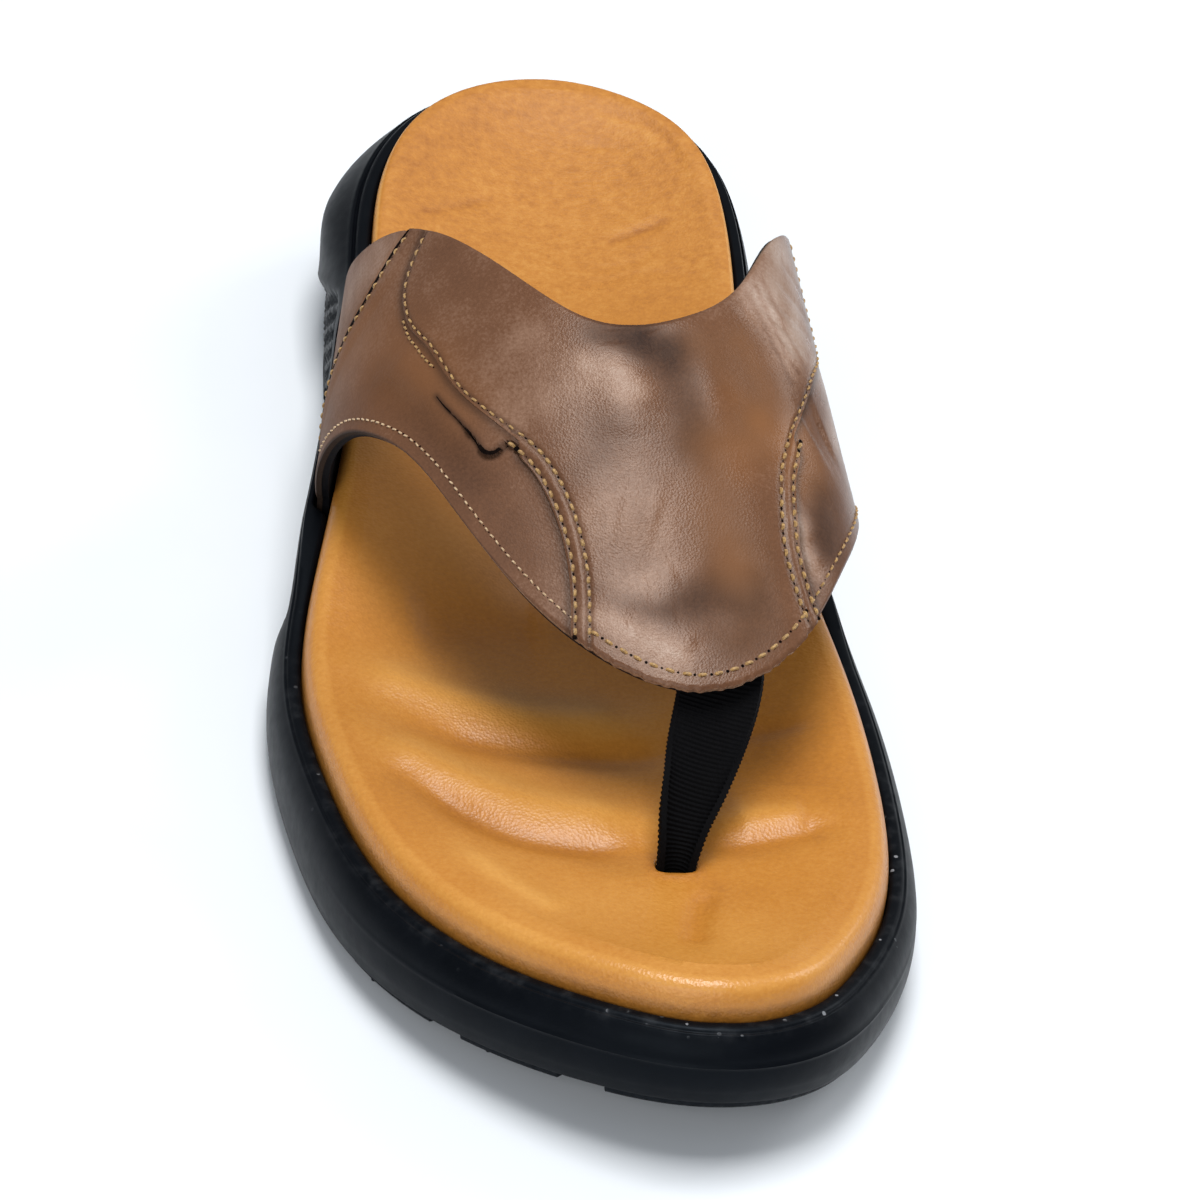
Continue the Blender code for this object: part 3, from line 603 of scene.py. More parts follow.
def natural_cubic(knots, values):
    """A function that runs smoothly through the values at the knots."""
    knots = np.asarray(knots, float)
    values = np.asarray(values, float)
    spans = np.diff(knots)
    rises = np.diff(values) / spans
    count = len(knots)
    system = np.eye(count)
    right = np.zeros(count)
    for i in range(1, count - 1):
        system[i, i - 1 : i + 2] = spans[i - 1], 2 * (spans[i - 1] + spans[i]), spans[i]
        right[i] = 6 * (rises[i] - rises[i - 1])
    bends = np.linalg.solve(system, right)

    def curve(place):
        place = np.asarray(place, float)
        i = np.clip(np.searchsorted(knots, place) - 1, 0, count - 2)
        a = (knots[i + 1] - place) / spans[i]
        b = (place - knots[i]) / spans[i]
        bent = ((a**3 - a) * bends[i] + (b**3 - b) * bends[i + 1]) * spans[i] ** 2 / 6
        return a * values[i] + b * values[i + 1] + bent

    return curve


def turn_of(station):
    """The outline's own parameter, which runs evenly round both of its ends."""
    return np.arccos(np.clip(1 - 2 * np.asarray(station, float) / FOOTBED_LENGTH, -1, 1))


def columns(rows, knots):
    """A smooth function for each column of a table."""
    return {name: natural_cubic(knots, [getattr(row, name) for row in rows]) for name in rows[0]._fields}


GIRDLE = columns(GIRDLES, turn_of([row.station for row in GIRDLES]))
SECTION = columns(SECTIONS, [row.station for row in SECTIONS])
CUT = columns(CUTS, [row.angle for row in CUTS])


def girdle(name, station):
    return GIRDLE[name](turn_of(station))


def smooth(t):
    t = np.clip(t, 0, 1)
    return t * t * (3 - 2 * t)


def hump(t):
    return np.exp(-np.square(t))


def unit(vectors):
    return vectors / np.linalg.norm(vectors, axis=-1, keepdims=True)


def through(points):
    """Close points on a smooth line through a few."""
    points = np.asarray(points, float)
    knots = np.arange(len(points))
    samples = np.linspace(0, len(points) - 1, (len(points) - 1) * SPAN_STEPS + 1)
    return np.column_stack([natural_cubic(knots, column)(samples) for column in points.T])


def nearest(places, line):
    """How far each place is from a line of close points, and which point is nearest."""
    flat = places.reshape(-1, places.shape[-1])
    squares = (flat**2).sum(1)[:, None] + (line**2).sum(1) - 2 * flat @ line.T
    which = squares.argmin(axis=1)
    far = np.sqrt(np.maximum(squares[np.arange(len(flat)), which], 0))
    return far.reshape(places.shape[:-1]), which.reshape(places.shape[:-1])


# The frame's own forms

def tread_height(station):
    station = np.asarray(station, float)
    spring = TOE_SPRING * (np.clip(SPRING_END - station, 0, None) / SPRING_END) ** 2
    along_arch = np.clip((station - ARCH_START) / (ARCH_END - ARCH_START), 0, 1)
    bevel = HEEL_BEVEL * (np.clip(station - BEVEL_START, 0, None) / BEVEL_LENGTH) ** 2
    return spring + ARCH_RISE * np.sin(np.pi * along_arch) ** 2 + bevel


def base_height(station):
    return tread_height(station) + LUG_DEPTH


def seat_height(station):
    return girdle("rim", station) - girdle("seat", station)


def pocket_share(station, side, ramp):
    """1 where the upper's foot stands beside the footbed, falling to 0 over the ramp."""
    share = np.zeros(np.shape(station))
    for pocket in POCKETS:
        before = smooth((station - pocket.start + ramp) / ramp)
        after = smooth((pocket.end + ramp - station) / ramp)
        share = np.where(side == pocket.side, before * after, share)
    return share


def flare_at(turn, side):
    return np.where(side == MEDIAL, GIRDLE["medial_flare"](turn), GIRDLE["lateral_flare"](turn))


def edge_and_outward(turn, side):
    """The footbed's edge in plan and the direction away from it."""
    small = 1e-4

    def point(at):
        x = np.where(side == MEDIAL, GIRDLE["medial"](at), GIRDLE["lateral"](at))
        return np.stack([x, FOOTBED_LENGTH * (1 - np.cos(at)) / 2], -1)

    along = point(np.clip(turn + small, 0, math.pi)) - point(np.clip(turn - small, 0, math.pi))
    outward = np.stack([along[..., 1], -along[..., 0]], -1) * np.asarray(side)[..., None]
    return point(turn), unit(outward)


class Outline:
    """Points round the footbed's edge, from the toe along the medial side and back."""

    def __init__(self, steps):
        turns = np.linspace(0, math.pi, steps + 1)
        self.steps = steps
        self.turn = np.concatenate([turns, turns[-2:0:-1]])
        self.side = np.where(np.arange(2 * steps) <= steps, MEDIAL, LATERAL)
        self.station = FOOTBED_LENGTH * (1 - np.cos(self.turn)) / 2
        self.edge, self.outward = edge_and_outward(self.turn, self.side)
        self.flare = flare_at(self.turn, self.side)

    def of(self, name):
        return GIRDLE[name](self.turn)

    def ring(self, offset, height):
        plan = self.edge + self.outward * np.broadcast_to(offset, self.turn.shape)[:, None]
        return np.column_stack([plan, np.broadcast_to(height, self.turn.shape)])


def last_point(station, angle):
    """A point on the upper's outer face, by station and angle round the section."""
    station, angle = np.broadcast_arrays(np.asarray(station, float), np.asarray(angle, float))
    section = {name: curve(station) for name, curve in SECTION.items()}
    turn = turn_of(station)
    foot = {}
    for side in (LATERAL, MEDIAL):
        edge, outward = edge_and_outward(turn, np.full(turn.shape, side))
        foot[side] = edge[..., 0] + (GAP + UPPER_WALL) / outward[..., 0]
    share = smooth((angle - math.pi / 4) / (math.pi / 2))
    power = section["lateral_power"] * (1 - share) + section["medial_power"] * share
    lateral_half = section["crown_x"] - foot[LATERAL]
    medial_half = foot[MEDIAL] - section["crown_x"]
    half = lateral_half * (1 - share) + medial_half * share
    rim = girdle("rim", station)
    across = np.cos(angle)
    up = np.maximum(np.sin(angle), 0)
    reach = (np.abs(across) ** power + up**power) ** (-1 / power)
    fold = 1 - np.abs(angle / (math.pi / 2) - 1)
    bulge = np.where(angle < math.pi / 2, -section["lateral_bulge"], section["medial_bulge"])
    x = section["crown_x"] - half * across * reach + bulge * 4 * fold * (1 - fold)
    return np.stack([x, station, rim + (section["crown_z"] - rim) * up * reach], -1)


def skin(places):
    """Points on the upper's outer face for places given as (angle in degrees, station)."""
    return last_point(places[..., 1], np.radians(np.clip(places[..., 0], 0, 180)))


def skin_slopes(places):
    """How a point on the upper's face moves with a degree of angle, and with a millimetre of station."""
    turn, step = np.array([0.5, 0.0]), np.array([0.0, 0.1])
    low, high = places - turn, places + turn
    span = np.clip(high[..., 0], 0, 180) - np.clip(low[..., 0], 0, 180)
    by_angle = (skin(high) - skin(low)) / span[..., None]
    by_station = (skin(places + step) - skin(places - step)) / (2 * step[1])
    return by_angle, by_station


def skin_normal(places):
    by_angle, by_station = skin_slopes(places)
    return unit(np.cross(by_angle, by_station))


OUTLINE = Outline(OUTLINE_STEPS)
WIDEST = OUTLINE.ring(OUTLINE.flare, 0)
MIDDLE = (WIDEST.min(axis=0) + WIDEST.max(axis=0)) / 2


# Meshes

def grid_faces(rows, cols, wrap=False):
    """The quads of a grid of points, with each row closed into a ring if wrapped."""
    index = np.arange(rows * cols).reshape(rows, cols)
    if wrap:
        index = np.concatenate([index, index[:, :1]], axis=1)
    return np.stack([index[:-1, :-1], index[:-1, 1:], index[1:, 1:], index[1:, :-1]], -1).reshape(-1, 4)


class Shape:
    """Points, faces and shades gathered from several forms, to become one piece."""

    def __init__(self):
        self.points = []
        self.faces = []
        self.kinds = []
        self.shades = []
        self.count = 0

    def add(self, points, faces, kind=0, **shades):
        points = np.asarray(points, float).reshape(-1, 3)
        faces = [[int(i) + self.count for i in face] for face in faces]
        self.points.append(points)
        self.faces += faces
        self.kinds += [kind] * len(faces)
        self.shades.append((len(points), shades))
        self.count += len(points)

    def object(self, name, materials):
        mesh = bpy.data.meshes.new(name)
        mesh.from_pydata(((np.concatenate(self.points) - MIDDLE) * MM).tolist(), [], self.faces)
        mesh.polygons.foreach_set("material_index", self.kinds)
        for shade in sorted({key for _, shades in self.shades for key in shades}):
            values = [np.ravel(s.get(shade, np.zeros(n))) for n, s in self.shades]
            attribute = mesh.attributes.new(shade, "FLOAT", "POINT")
            attribute.data.foreach_set("value", np.concatenate(values).astype(np.float32))
        form = bmesh.new()
        form.from_mesh(mesh)
        bmesh.ops.recalc_face_normals(form, faces=form.faces)
        form.to_mesh(mesh)
        form.free()
        for material in materials:
            mesh.materials.append(material)
        mesh.shade_smooth()
        mesh.set_sharp_from_angle(angle=SMOOTH_ANGLE)
        piece = bpy.data.objects.new(name, mesh)
        bpy.context.scene.collection.objects.link(piece)
        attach(piece, BODY)
        return piece


def cap_between(ring, steps, cross_steps):
    """Points and faces across an outline's ring, whose own points come first."""
    count = 2 * steps
    points = []
    rows = [[0] * (cross_steps + 1)]
    shares = np.arange(1, cross_steps) / cross_steps
    for i in range(1, steps):
        medial, lateral = ring[i], ring[count - i]
        first = count + len(points)
        points += list(medial + (lateral - medial) * shares[:, None])
        rows.append([i, *range(first, first + cross_steps - 1), count - i])
    rows.append([steps] * (cross_steps + 1))
    faces = []
    for near, far in zip(rows, rows[1:]):
        for k in range(cross_steps):
            faces.append(list(dict.fromkeys((near[k], near[k + 1], far[k + 1], far[k]))))
    return np.array(points), faces


def cap_faces(faces, count, ring, extra):
    """A cap's faces where its ring's points are numbered from ring, and its own points from extra."""
    return [[i + ring if i < count else i + extra - count for i in face] for face in faces]


def prism_faces(rows, count):
    """The faces of a form of rings, closed by one flat face at each end."""
    ends = [list(range(count)), list(range((rows - 1) * count, rows * count))]
    return grid_faces(rows, count, wrap=True).tolist() + ends


# Materials

class Look:
    """A material's nodes, added one by one."""

    def __init__(self, name, colour, roughness, **values):
        self.material = bpy.data.materials.new(name)
        self.material.use_nodes = True
        self.tree = self.material.node_tree
        self.shader = self.tree.nodes["Principled BSDF"]
        self.shader.inputs["Base Color"].default_value = (*colour, 1)
        self.shader.inputs["Roughness"].default_value = roughness
        for key, value in values.items():
            self.shader.inputs[key.replace("_", " ").title().replace("Ior", "IOR")].default_value = value
        self.place = self.tree.nodes.new("ShaderNodeTexCoord").outputs["Object"]

    def node(self, kind, inputs=(), **settings):
        made = self.tree.nodes.new("ShaderNode" + kind)
        for key, value in settings.items():
            setattr(made, key, value)
        for key, value in dict(inputs).items():
            if isinstance(value, bpy.types.NodeSocket):
                self.tree.links.new(value, made.inputs[key])
            else:
                made.inputs[key].default_value = value
        return made

    def link(self, socket, key):
        self.tree.links.new(socket, self.shader.inputs[key])

    def noise(self, size, detail, stretch=(1, 1, 1)):
        """Noise whose features are about this many millimetres across."""
        place = self.node("Mapping", {"Vector": self.place, "Scale": stretch}).outputs["Vector"]
        inputs = {"Vector": place, "Scale": 1 / (size * MM), "Detail": detail, "Roughness": NOISE_ROUGHNESS}
        return self.node("TexNoise", inputs).outputs["Fac"]

    def cells(self, size, feature="F1"):
        """Distances from points scattered about this many millimetres apart."""
        inputs = {"Vector": self.place, "Scale": 1 / (size * MM)}
        return self.node("TexVoronoi", inputs, feature=feature).outputs["Distance"]

    def shade(self, name):
        return self.node("Attribute", attribute_name=name).outputs["Fac"]

    def math(self, operation, a, b=0.0, c=0.0):
        return self.node("Math", {0: a, 1: b, 2: c}, operation=operation).outputs[0]

    def spread(self, value, low, high):
        """A value from 0 to 1 stretched to run from low to high."""
        return self.math("MULTIPLY_ADD", value, high - low, low)

    def steps(self, value, low, high):
        """0 below low, 1 above high, and smooth between."""
        inputs = {"Value": value, "From Min": low, "From Max": high}
        return self.node("MapRange", inputs, interpolation_type="SMOOTHSTEP").outputs["Result"]

    def ramp(self, value, stops):
        made = self.node("ValToRGB", {"Fac": value})
        elements = made.color_ramp.elements
        while len(elements) < len(stops):
            elements.new(0.5)
        for element, (position, colour) in zip(elements, stops):
            element.position = position
            element.color = (*colour, 1)
        return made.outputs["Color"]

    def mix(self, share, first, second):
        made = self.node("Mix", data_type="RGBA")
        for socket, value in ((made.inputs[0], share), (made.inputs[6], first), (made.inputs[7], second)):
            if isinstance(value, bpy.types.NodeSocket):
                self.tree.links.new(value, socket)
            else:
                socket.default_value = value if np.isscalar(value) else (*value, 1)
        return made.outputs[2]

    def bump(self, *layers):
        """Bumps laid over each other, each as (height, strength, depth in millimetres)."""
        normal = None
        for height, strength, depth in layers:
            inputs = {"Height": height, "Strength": strength, "Distance": depth * MM}
            if normal:
                inputs["Normal"] = normal
            normal = self.node("Bump", inputs).outputs["Normal"]
        self.link(normal, "Normal")

    def grained(self, grain, stops, rough, bump):
        """Colour, roughness and bump that all follow one grain."""
        self.link(self.ramp(grain, stops), "Base Color")
        if rough:
            self.link(self.spread(grain, *rough), "Roughness")
        self.bump((grain, *bump))
        return self.material


def upper_leather():
    look = Look(
        "upper_leather",
        (0.15, 0.072, 0.042),
        0.3,
        specular_ior_level=0.25,
        specular_tint=(1.0, 0.89, 0.82, 1),
    )
    cloud = look.noise(14, 4)
    fine = look.noise(0.6, 3)
    streaks = look.noise(5, 3, stretch=(1, 0.3, 1))
    # tone brings painted highlights, sheen and dark reflections, with the leather's own mottling
    shading = look.math("MULTIPLY", look.shade("tone"), look.spread(streaks, 0.55, 1.55))
    tone = look.math("MULTIPLY_ADD", shading, 0.5, 0.5)
    tone = look.math("ADD", tone, look.spread(streaks, -0.08, 0.08))
    tone = look.math("ADD", tone, look.spread(cloud, -0.16, 0.16))
    tone = look.math("ADD", tone, look.spread(fine, -0.16, 0.16))
    # The ramp's pale end turns whitish: a painted sheen on the painted highlights
    colour = look.ramp(
        tone,
        (
            (0.0, (0.020, 0.007, 0.004)),
            (0.5, (0.136, 0.061, 0.031)),
            (0.7, (0.245, 0.140, 0.092)),
            (0.9, (0.36, 0.255, 0.20)),
            (1.0, (0.42, 0.325, 0.28)),
        ),
    )
    colour = look.mix(look.math("MULTIPLY", look.shade("warm"), 0.8), colour, (0.23, 0.092, 0.029))
    # crease holds painted shade along rows, seams, the slit and the cut edges
    colour = look.mix(look.shade("crease"), colour, (0.012, 0.006, 0.004))
    look.link(colour, "Base Color")
    dull = look.math("SUBTRACT", 1.0, look.steps(shading, -0.9, 0.0))
    matte = look.math("MULTIPLY", look.shade("matte"), 0.36)
    dull = look.math("MAXIMUM", look.math("MULTIPLY", dull, 0.3), matte)
    look.link(look.math("ADD", look.spread(look.noise(5, 4), 0.22, 0.36), dull), "Roughness")
    folds, grain, pores = look.noise(10, 3), look.cells(0.42), look.noise(0.3, 2)
    look.bump((folds, 0.2, 0.28), (grain, 0.42, 0.08), (pores, 0.25, 0.06))
    return look.material


def raw_edge():
    look = Look("raw_leather_edge", (0.30, 0.19, 0.125), 0.9, specular_ior_level=0.2)
    fibres = look.noise(0.5, 3)
    colour = look.ramp(fibres, ((0.25, (0.13, 0.066, 0.038)), (0.75, (0.40, 0.26, 0.17))))
    # crease darkens the cut edge with painted shade, most low on the sides
    look.link(look.mix(look.shade("crease"), colour, (0.016, 0.009, 0.006)), "Base Color")
    look.link(look.spread(fibres, 0.75, 1.0), "Roughness")
    look.bump((fibres, 0.6, 0.2))
    return look.material


def lining_leather():
    look = Look("black_lining", (0.004, 0.004, 0.006), 0.7, specular_ior_level=0.15)
    stops = ((0.3, (0.0015, 0.0016, 0.0026)), (0.8, (0.005, 0.0052, 0.008)))
    return look.grained(look.noise(0.8, 3), stops, (0.6, 0.85), (0.4, 0.12))


def footbed_leather():
    look = Look("footbed_leather", (0.60, 0.27, 0.055), 0.42, specular_ior_level=0.5)
    cloud = look.noise(22, 4)
    speck = look.noise(0.9, 2)
    # tone carries painted highlights and painted shade as well as the leather's own streaks
    tone = look.math("MULTIPLY_ADD", look.shade("tone"), 0.5, 0.5)
    tone = look.math("ADD", tone, look.spread(cloud, -0.18, 0.18))
    tone = look.math("ADD", tone, look.spread(speck, -0.2, 0.2))
    mottle = look.math("MULTIPLY", look.spread(look.noise(2.2, 4), -0.32, 0.32), look.shade("heel"))
    tone = look.math("ADD", tone, mottle)
    colour = look.ramp(
        tone, ((0.0, (0.30, 0.095, 0.010)), (0.5, (0.51, 0.200, 0.027)), (1.0, (0.68, 0.33, 0.072)))
    )
    # The roll's foot darkened in a fuzzy band: frayed fibres and painted shade where it meets the rim
    frayed_and_shaded = look.math("MULTIPLY", look.shade("fray"), look.spread(look.noise(1.5, 3), 0.0, 0.6))
    colour = look.mix(frayed_and_shaded, colour, (0.07, 0.024, 0.006))
    look.link(colour, "Base Color")
    rough = look.spread(look.noise(3, 3), 0.30, 0.44)
    rough = look.math("MULTIPLY_ADD", look.shade("heel"), 0.20, rough)
    look.link(look.math("MULTIPLY_ADD", look.shade("gloss"), -0.05, rough), "Roughness")
    wrinkles = look.math("MULTIPLY", look.noise(1.6, 4, stretch=(1, 1.8, 1)), look.shade("heel"))
    look.bump((look.noise(7, 3), 0.2, 0.25), (wrinkles, 0.35, 0.35), (look.cells(0.55), 0.5, 0.11))
    return look.material


def rubber(name, colour, roughness):
    return Look(name, colour, roughness, specular_ior_level=0.10, specular_tint=(0.70, 0.84, 1.0, 1))


def sole_rubber():
    look = rubber("sole_rubber", (0.002, 0.0025, 0.0038), 0.42)
    cloud = look.noise(9, 3)
    colour = look.ramp(cloud, ((0.3, (0.0010, 0.0014, 0.0024)), (0.8, (0.0026, 0.0033, 0.0050))))
    specks = look.math("LESS_THAN", look.cells(2.4), 0.16)
    rare = look.steps(look.noise(7, 2), 0.50, 0.62)
    dust = look.math("MULTIPLY", look.math("MULTIPLY", specks, rare), look.shade("dust"))
    film = look.math("MULTIPLY", look.steps(look.noise(3, 4), 0.45, 0.8), look.shade("dust"))
    film = look.math("MULTIPLY", film, 0.07)
    colour = look.mix(look.math("MAXIMUM", dust, film), colour, (0.22, 0.23, 0.25))
    look.link(colour, "Base Color")
    look.link(look.spread(look.noise(2.5, 3), 0.34, 0.52), "Roughness")
    look.bump((look.noise(6, 3), 0.15, 0.3), (look.noise(0.5, 2), 0.12, 0.08))
    return look.material


def tread_rubber():
    look = rubber("tread_rubber", (0.004, 0.005, 0.007), 0.5)
    stops = ((0.1, (0.004, 0.005, 0.007)), (0.7, (0.002, 0.0025, 0.0036)))
    return look.grained(look.cells(1.1, "SMOOTH_F1"), stops, (0.38, 0.6), (0.6, 0.35))


def webbing_look():
    look = Look("black_webbing", (0.003, 0.003, 0.0035), 0.75, specular_ior_level=0.07)
    fibres = look.noise(0.22, 2, stretch=(1, 0.3, 0.3))
    stops = ((0.3, (0.001, 0.001, 0.0014)), (0.8, (0.004, 0.004, 0.005)))
    return look.grained(fibres, stops, (0.7, 0.9), (0.5, 0.08))


def thread_look(name, dark, light):
    look = Look(name, light, 0.5, sheen_weight=0.2)
    return look.grained(look.noise(0.35, 2), ((0.25, dark), (0.7, light)), (0.4, 0.6), (0.5, 0.1))


def hole_look():
    # Near black: painted shade inside the needle holes, the slit and the rear seam's groove
    look = Look("stitch_holes", (0.004, 0.002, 0.0015), 0.9, specular_ior_level=0.05)
    stops = ((0.3, (0.002, 0.001, 0.0008)), (0.8, (0.008, 0.004, 0.003)))
    return look.grained(look.noise(0.5, 2), stops, None, (0.3, 0.1))


def floor_look():
    look = Look("floor", (0.84, 0.87, 0.90), 0.6)
    paper = look.noise(60, 3)
    look.link(look.ramp(paper, ((0.2, (0.83, 0.875, 0.93)), (0.8, (0.86, 0.90, 0.95)))), "Base Color")
    look.link(look.spread(paper, 0.55, 0.7), "Roughness")
    look.bump((look.noise(2, 3), 0.05, 0.1))
    return look.material


# Sole

def wall_bumps(outline, station, rise, height):
    """How far the wall stands out from its plain form: parting line, knurled waist and heel band."""
    toe = smooth((PARTING_END - station) / PARTING_END)
    parting = PARTING_HEIGHT * hump((rise - PARTING_RISE) / PARTING_WIDTH) * toe
    end = KNURL_END - KNURL_LEAN * np.clip(rise, 0, 1)
    waist = smooth((station - KNURL_START) / KNURL_RAMP) * smooth((end - station) / KNURL_STOP)
    waist = waist * smooth((KNURL_TOP - rise) / KNURL_TOP_RAMP)
    up = np.cos(2 * np.pi * (station / KNURL_PITCH + height / KNURL_RISE))
    down = np.cos(2 * np.pi * (station / KNURL_PITCH - height / KNURL_RISE))
    knurl = KNURL_DEPTH * (np.maximum(np.maximum(up, down), 0) - 1.0)
    low, high = HEEL_BAND_RISES
    band = smooth((station - end) / HEEL_BAND_RAMP)
    band = band * smooth((rise - low) / HEEL_BAND_EASE) * smooth((high - rise) / HEEL_BAND_EASE)
    band = band * smooth((FOOTBED_LENGTH - outline.station) / HEEL_BAND_FADE) * (outline.side == LATERAL)
    return parting + waist * (knurl - WAIST_RECESS) + HEEL_BAND * band


def sole_body(shape):
    outline = Outline(SOLE_STEPS)
    rim = outline.of("rim")
    inner = GAP + (POCKET_WIDTH - GAP) * pocket_share(outline.station, outline.side, POCKET_RAMP)
    widened = pocket_share(outline.station, outline.side, RIM_RAMP)
    rim_edge = RIM_WIDTH + (POCKET_WIDTH + POCKET_RIM - RIM_WIDTH) * widened
    end = len(WALLS) - 1
    along = np.concatenate([np.linspace(0, end - 1, WALL_ROWS), np.linspace(end - 1, end, RIM_ROWS)[1:]])
    knots = range(len(WALLS))
    reach = natural_cubic(knots, [wall.reach for wall in WALLS])(along)[:, None]
    rise = natural_cubic(knots, [wall.height for wall in WALLS])(along)[:, None]
    offset = rim_edge + (outline.flare - rim_edge) * reach
    station = outline.edge[:, 1] + outline.outward[:, 1] * offset
    base = base_height(station)
    height = base + (rim - base) * rise
    offset = offset + wall_bumps(outline, station, rise, height)
    top = smooth((rise - RIM_RISE) / RIM_RISE_RAMP)
    behind = smooth((outline.station - ARCH_START) / (ARCH_END - ARCH_START))
    crease = TOE_CREASE + (HEEL_CREASE - TOE_CREASE) * behind
    height = height - crease * hump((reach - CREASE_REACH) / CREASE_WIDTH) * top
    height = height + LIP_HEIGHT * hump((reach - LIP_REACH) / LIP_WIDTH) * top
    height = height - SKIRT * (1 - smooth(rise / SKIRT_RISE))
    front = smooth((DUST_END - outline.station) / DUST_RAMP)
    rings = [outline.ring(offset[0] - SKIRT_WIDTH, base[0])]
    rings.append(outline.ring(offset[0] - SKIRT_WIDTH / 3, height[0]))
    rings += [outline.ring(o, h) for o, h in zip(offset, height)]
    dust = [np.zeros(len(rim))] * 2 + list(hump((reach - DUST_REACH) / DUST_SPREAD) * top * front)
    width = rim_edge - inner
    for share, drop in RIM_TOP:
        rings.append(outline.ring(inner + width * share, rim - drop))
        dust.append(front)
    rings.append(outline.ring(inner, rim - outline.of("seat")))
    dust.append(np.zeros(len(rim)))
    count = len(rim)
    bottom, bottom_faces = cap_between(rings[0], outline.steps, SOLE_CROSS_STEPS)
    seat, seat_faces = cap_between(rings[-1], outline.steps, SOLE_CROSS_STEPS)
    total = len(rings) * count
    faces = grid_faces(len(rings), count, wrap=True).tolist()
    faces += cap_faces(bottom_faces, count, 0, total)
    faces += cap_faces(seat_faces, count, total - count, total + len(bottom))
    shades = np.concatenate([np.concatenate(dust), np.zeros(len(bottom) + len(seat))])
    shape.add(np.concatenate(rings + [bottom, seat]), faces, dust=shades)


def tread_edge(turn, side):
    """The tread's outer edge in plan, a little inside the foot of the sole's wall."""
    edge, outward = edge_and_outward(turn, side)
    offset = RIM_WIDTH + (flare_at(turn, side) - RIM_WIDTH) * WALLS[0].reach - LUG_EDGE_INSET
    return edge + outward * offset[..., None], outward


def edge_lug_outline(lug):
    """The plan of a lug along one side, or round the toe or heel where its side is 0."""
    start, end = turn_of([lug.start, lug.end])
    if lug.side:
        turns = np.linspace(start, end, LUG_EDGE_STEPS)
        sides = np.full(LUG_EDGE_STEPS, lug.side)
    else:
        tip = 0 if lug.start < FOOTBED_LENGTH / 2 else math.pi
        there = np.linspace(start, tip, LUG_EDGE_STEPS)
        back = np.linspace(tip, end, LUG_EDGE_STEPS)[1:]
        turns = np.concatenate([there, back])
        sides = np.repeat([MEDIAL, LATERAL], [LUG_EDGE_STEPS, LUG_EDGE_STEPS - 1])
    outer, outward = tread_edge(turns, sides)
    shares = np.linspace(0, 1, len(turns))
    notched = smooth((shares - 1 + lug.notch) / NOTCH_RAMP) * (lug.notch > 0)
    depth = lug.depth * (1 - NOTCH_DEPTH * notched)
    inner = outer - outward * depth[:, None]
    return np.concatenate([outer, inner[::-1]])


def rounded(outline):
    """An outline with its corners cut, again and again."""
    near, far = 1 - CORNER_CUT, CORNER_CUT
    for _ in range(CORNER_CUTS):
        ahead = np.roll(outline, -1, axis=0)
        outline = np.stack([outline * near + ahead * far, outline * far + ahead * near], 1).reshape(-1, 2)
    return outline


def add_lug(shape, plan, face, profile):
    """A raised block on the tread, whose profile holds lifts above its face and insets."""
    plan = rounded(np.asarray(plan, float))
    ahead = np.roll(plan, -1, axis=0) - np.roll(plan, 1, axis=0)
    inward = unit(np.stack([-ahead[:, 1], ahead[:, 0]], -1))
    area = (plan[:, 0] * np.roll(plan[:, 1], -1) - plan[:, 1] * np.roll(plan[:, 0], -1)).sum()
    inward = inward * np.sign(area)
    rings = []
    for lift, inset in profile:
        at = plan + inward * inset
        rings.append(np.column_stack([at, tread_height(plan[:, 1]) + face + lift]))
    shape.add(np.concatenate(rings), prism_faces(len(rings), len(plan)), kind=1)


def bar_outline(start, end, half_width):
    """The plan of a straight bar with blunt ends."""
    start, end = np.asarray(start, float), np.asarray(end, float)
    along = unit(end - start)
    side = np.array([-along[1], along[0]]) * half_width
    tip = along * half_width * BAR_TIP
    narrow = side * BAR_TIP_WIDTH
    near = [start + side, start - tip + narrow, start - tip - narrow, start - side]
    return np.array([*near, end - side, end + tip - narrow, end + tip + narrow, end + side])


def add_tread(shape):
    for lug in EDGE_LUGS:
        plan = edge_lug_outline(lug)
        add_lug(shape, plan, LUG_FACE, LUG_ROUND)
        half = len(plan) // 2
        outer, inner = plan[:half], plan[half:][::-1]
        bar = [outer[int(half * u)] * (1 - v) + inner[int(half * u)] * v for u, v in LUG_BAR]
        add_lug(shape, bar_outline(*bar, LUG_BAR_HALF), 0.0, BAR_ROUND)
    for lug in (TOE_BUMPER, HEEL_BUMPER):
        add_lug(shape, edge_lug_outline(lug), LUG_FACE if lug is TOE_BUMPER else 0.0, LUG_ROUND)
    for x in TOE_BARS:
        bar = np.array(TOE_BAR) + (x, 0)
        add_lug(shape, bar_outline(*bar, TOE_BAR_HALF), 0.0, BAR_ROUND)
    for start, end in HEEL_LUG_STATIONS:
        for side in (MEDIAL, LATERAL):
            add_lug(shape, edge_lug_outline(EdgeLug(side, start, end, HEEL_LUG_DEPTH, 0.0)), 0.0, LUG_ROUND)
    for chevron in CHEVRONS:
        scale = np.array((chevron.wider, chevron.longer))
        place = np.array((chevron.x, chevron.station))
        add_lug(shape, np.array(CHEVRON_OUTLINE) * scale + place, LUG_FACE, LUG_ROUND)
        bar = np.array(CHEVRON_BAR) * scale + place
        add_lug(shape, bar_outline(*bar, CHEVRON_BAR_HALF), 0.0, BAR_ROUND)
    for place in EDGE_BARS:
        bar = np.array(EDGE_BAR) + place
        add_lug(shape, bar_outline(*bar, EDGE_BAR_HALF), EDGE_BAR_FACE, SUNK_ROUND)
    add_lug(shape, PLATE, PLATE_FACE, PLATE_ROUND)


def build_sole():
    shape = Shape()
    sole_body(shape)
    add_tread(shape)
    sole = shape.object("sole_moulding", [sole_rubber(), tread_rubber()])
    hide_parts("sole")


# Footbed

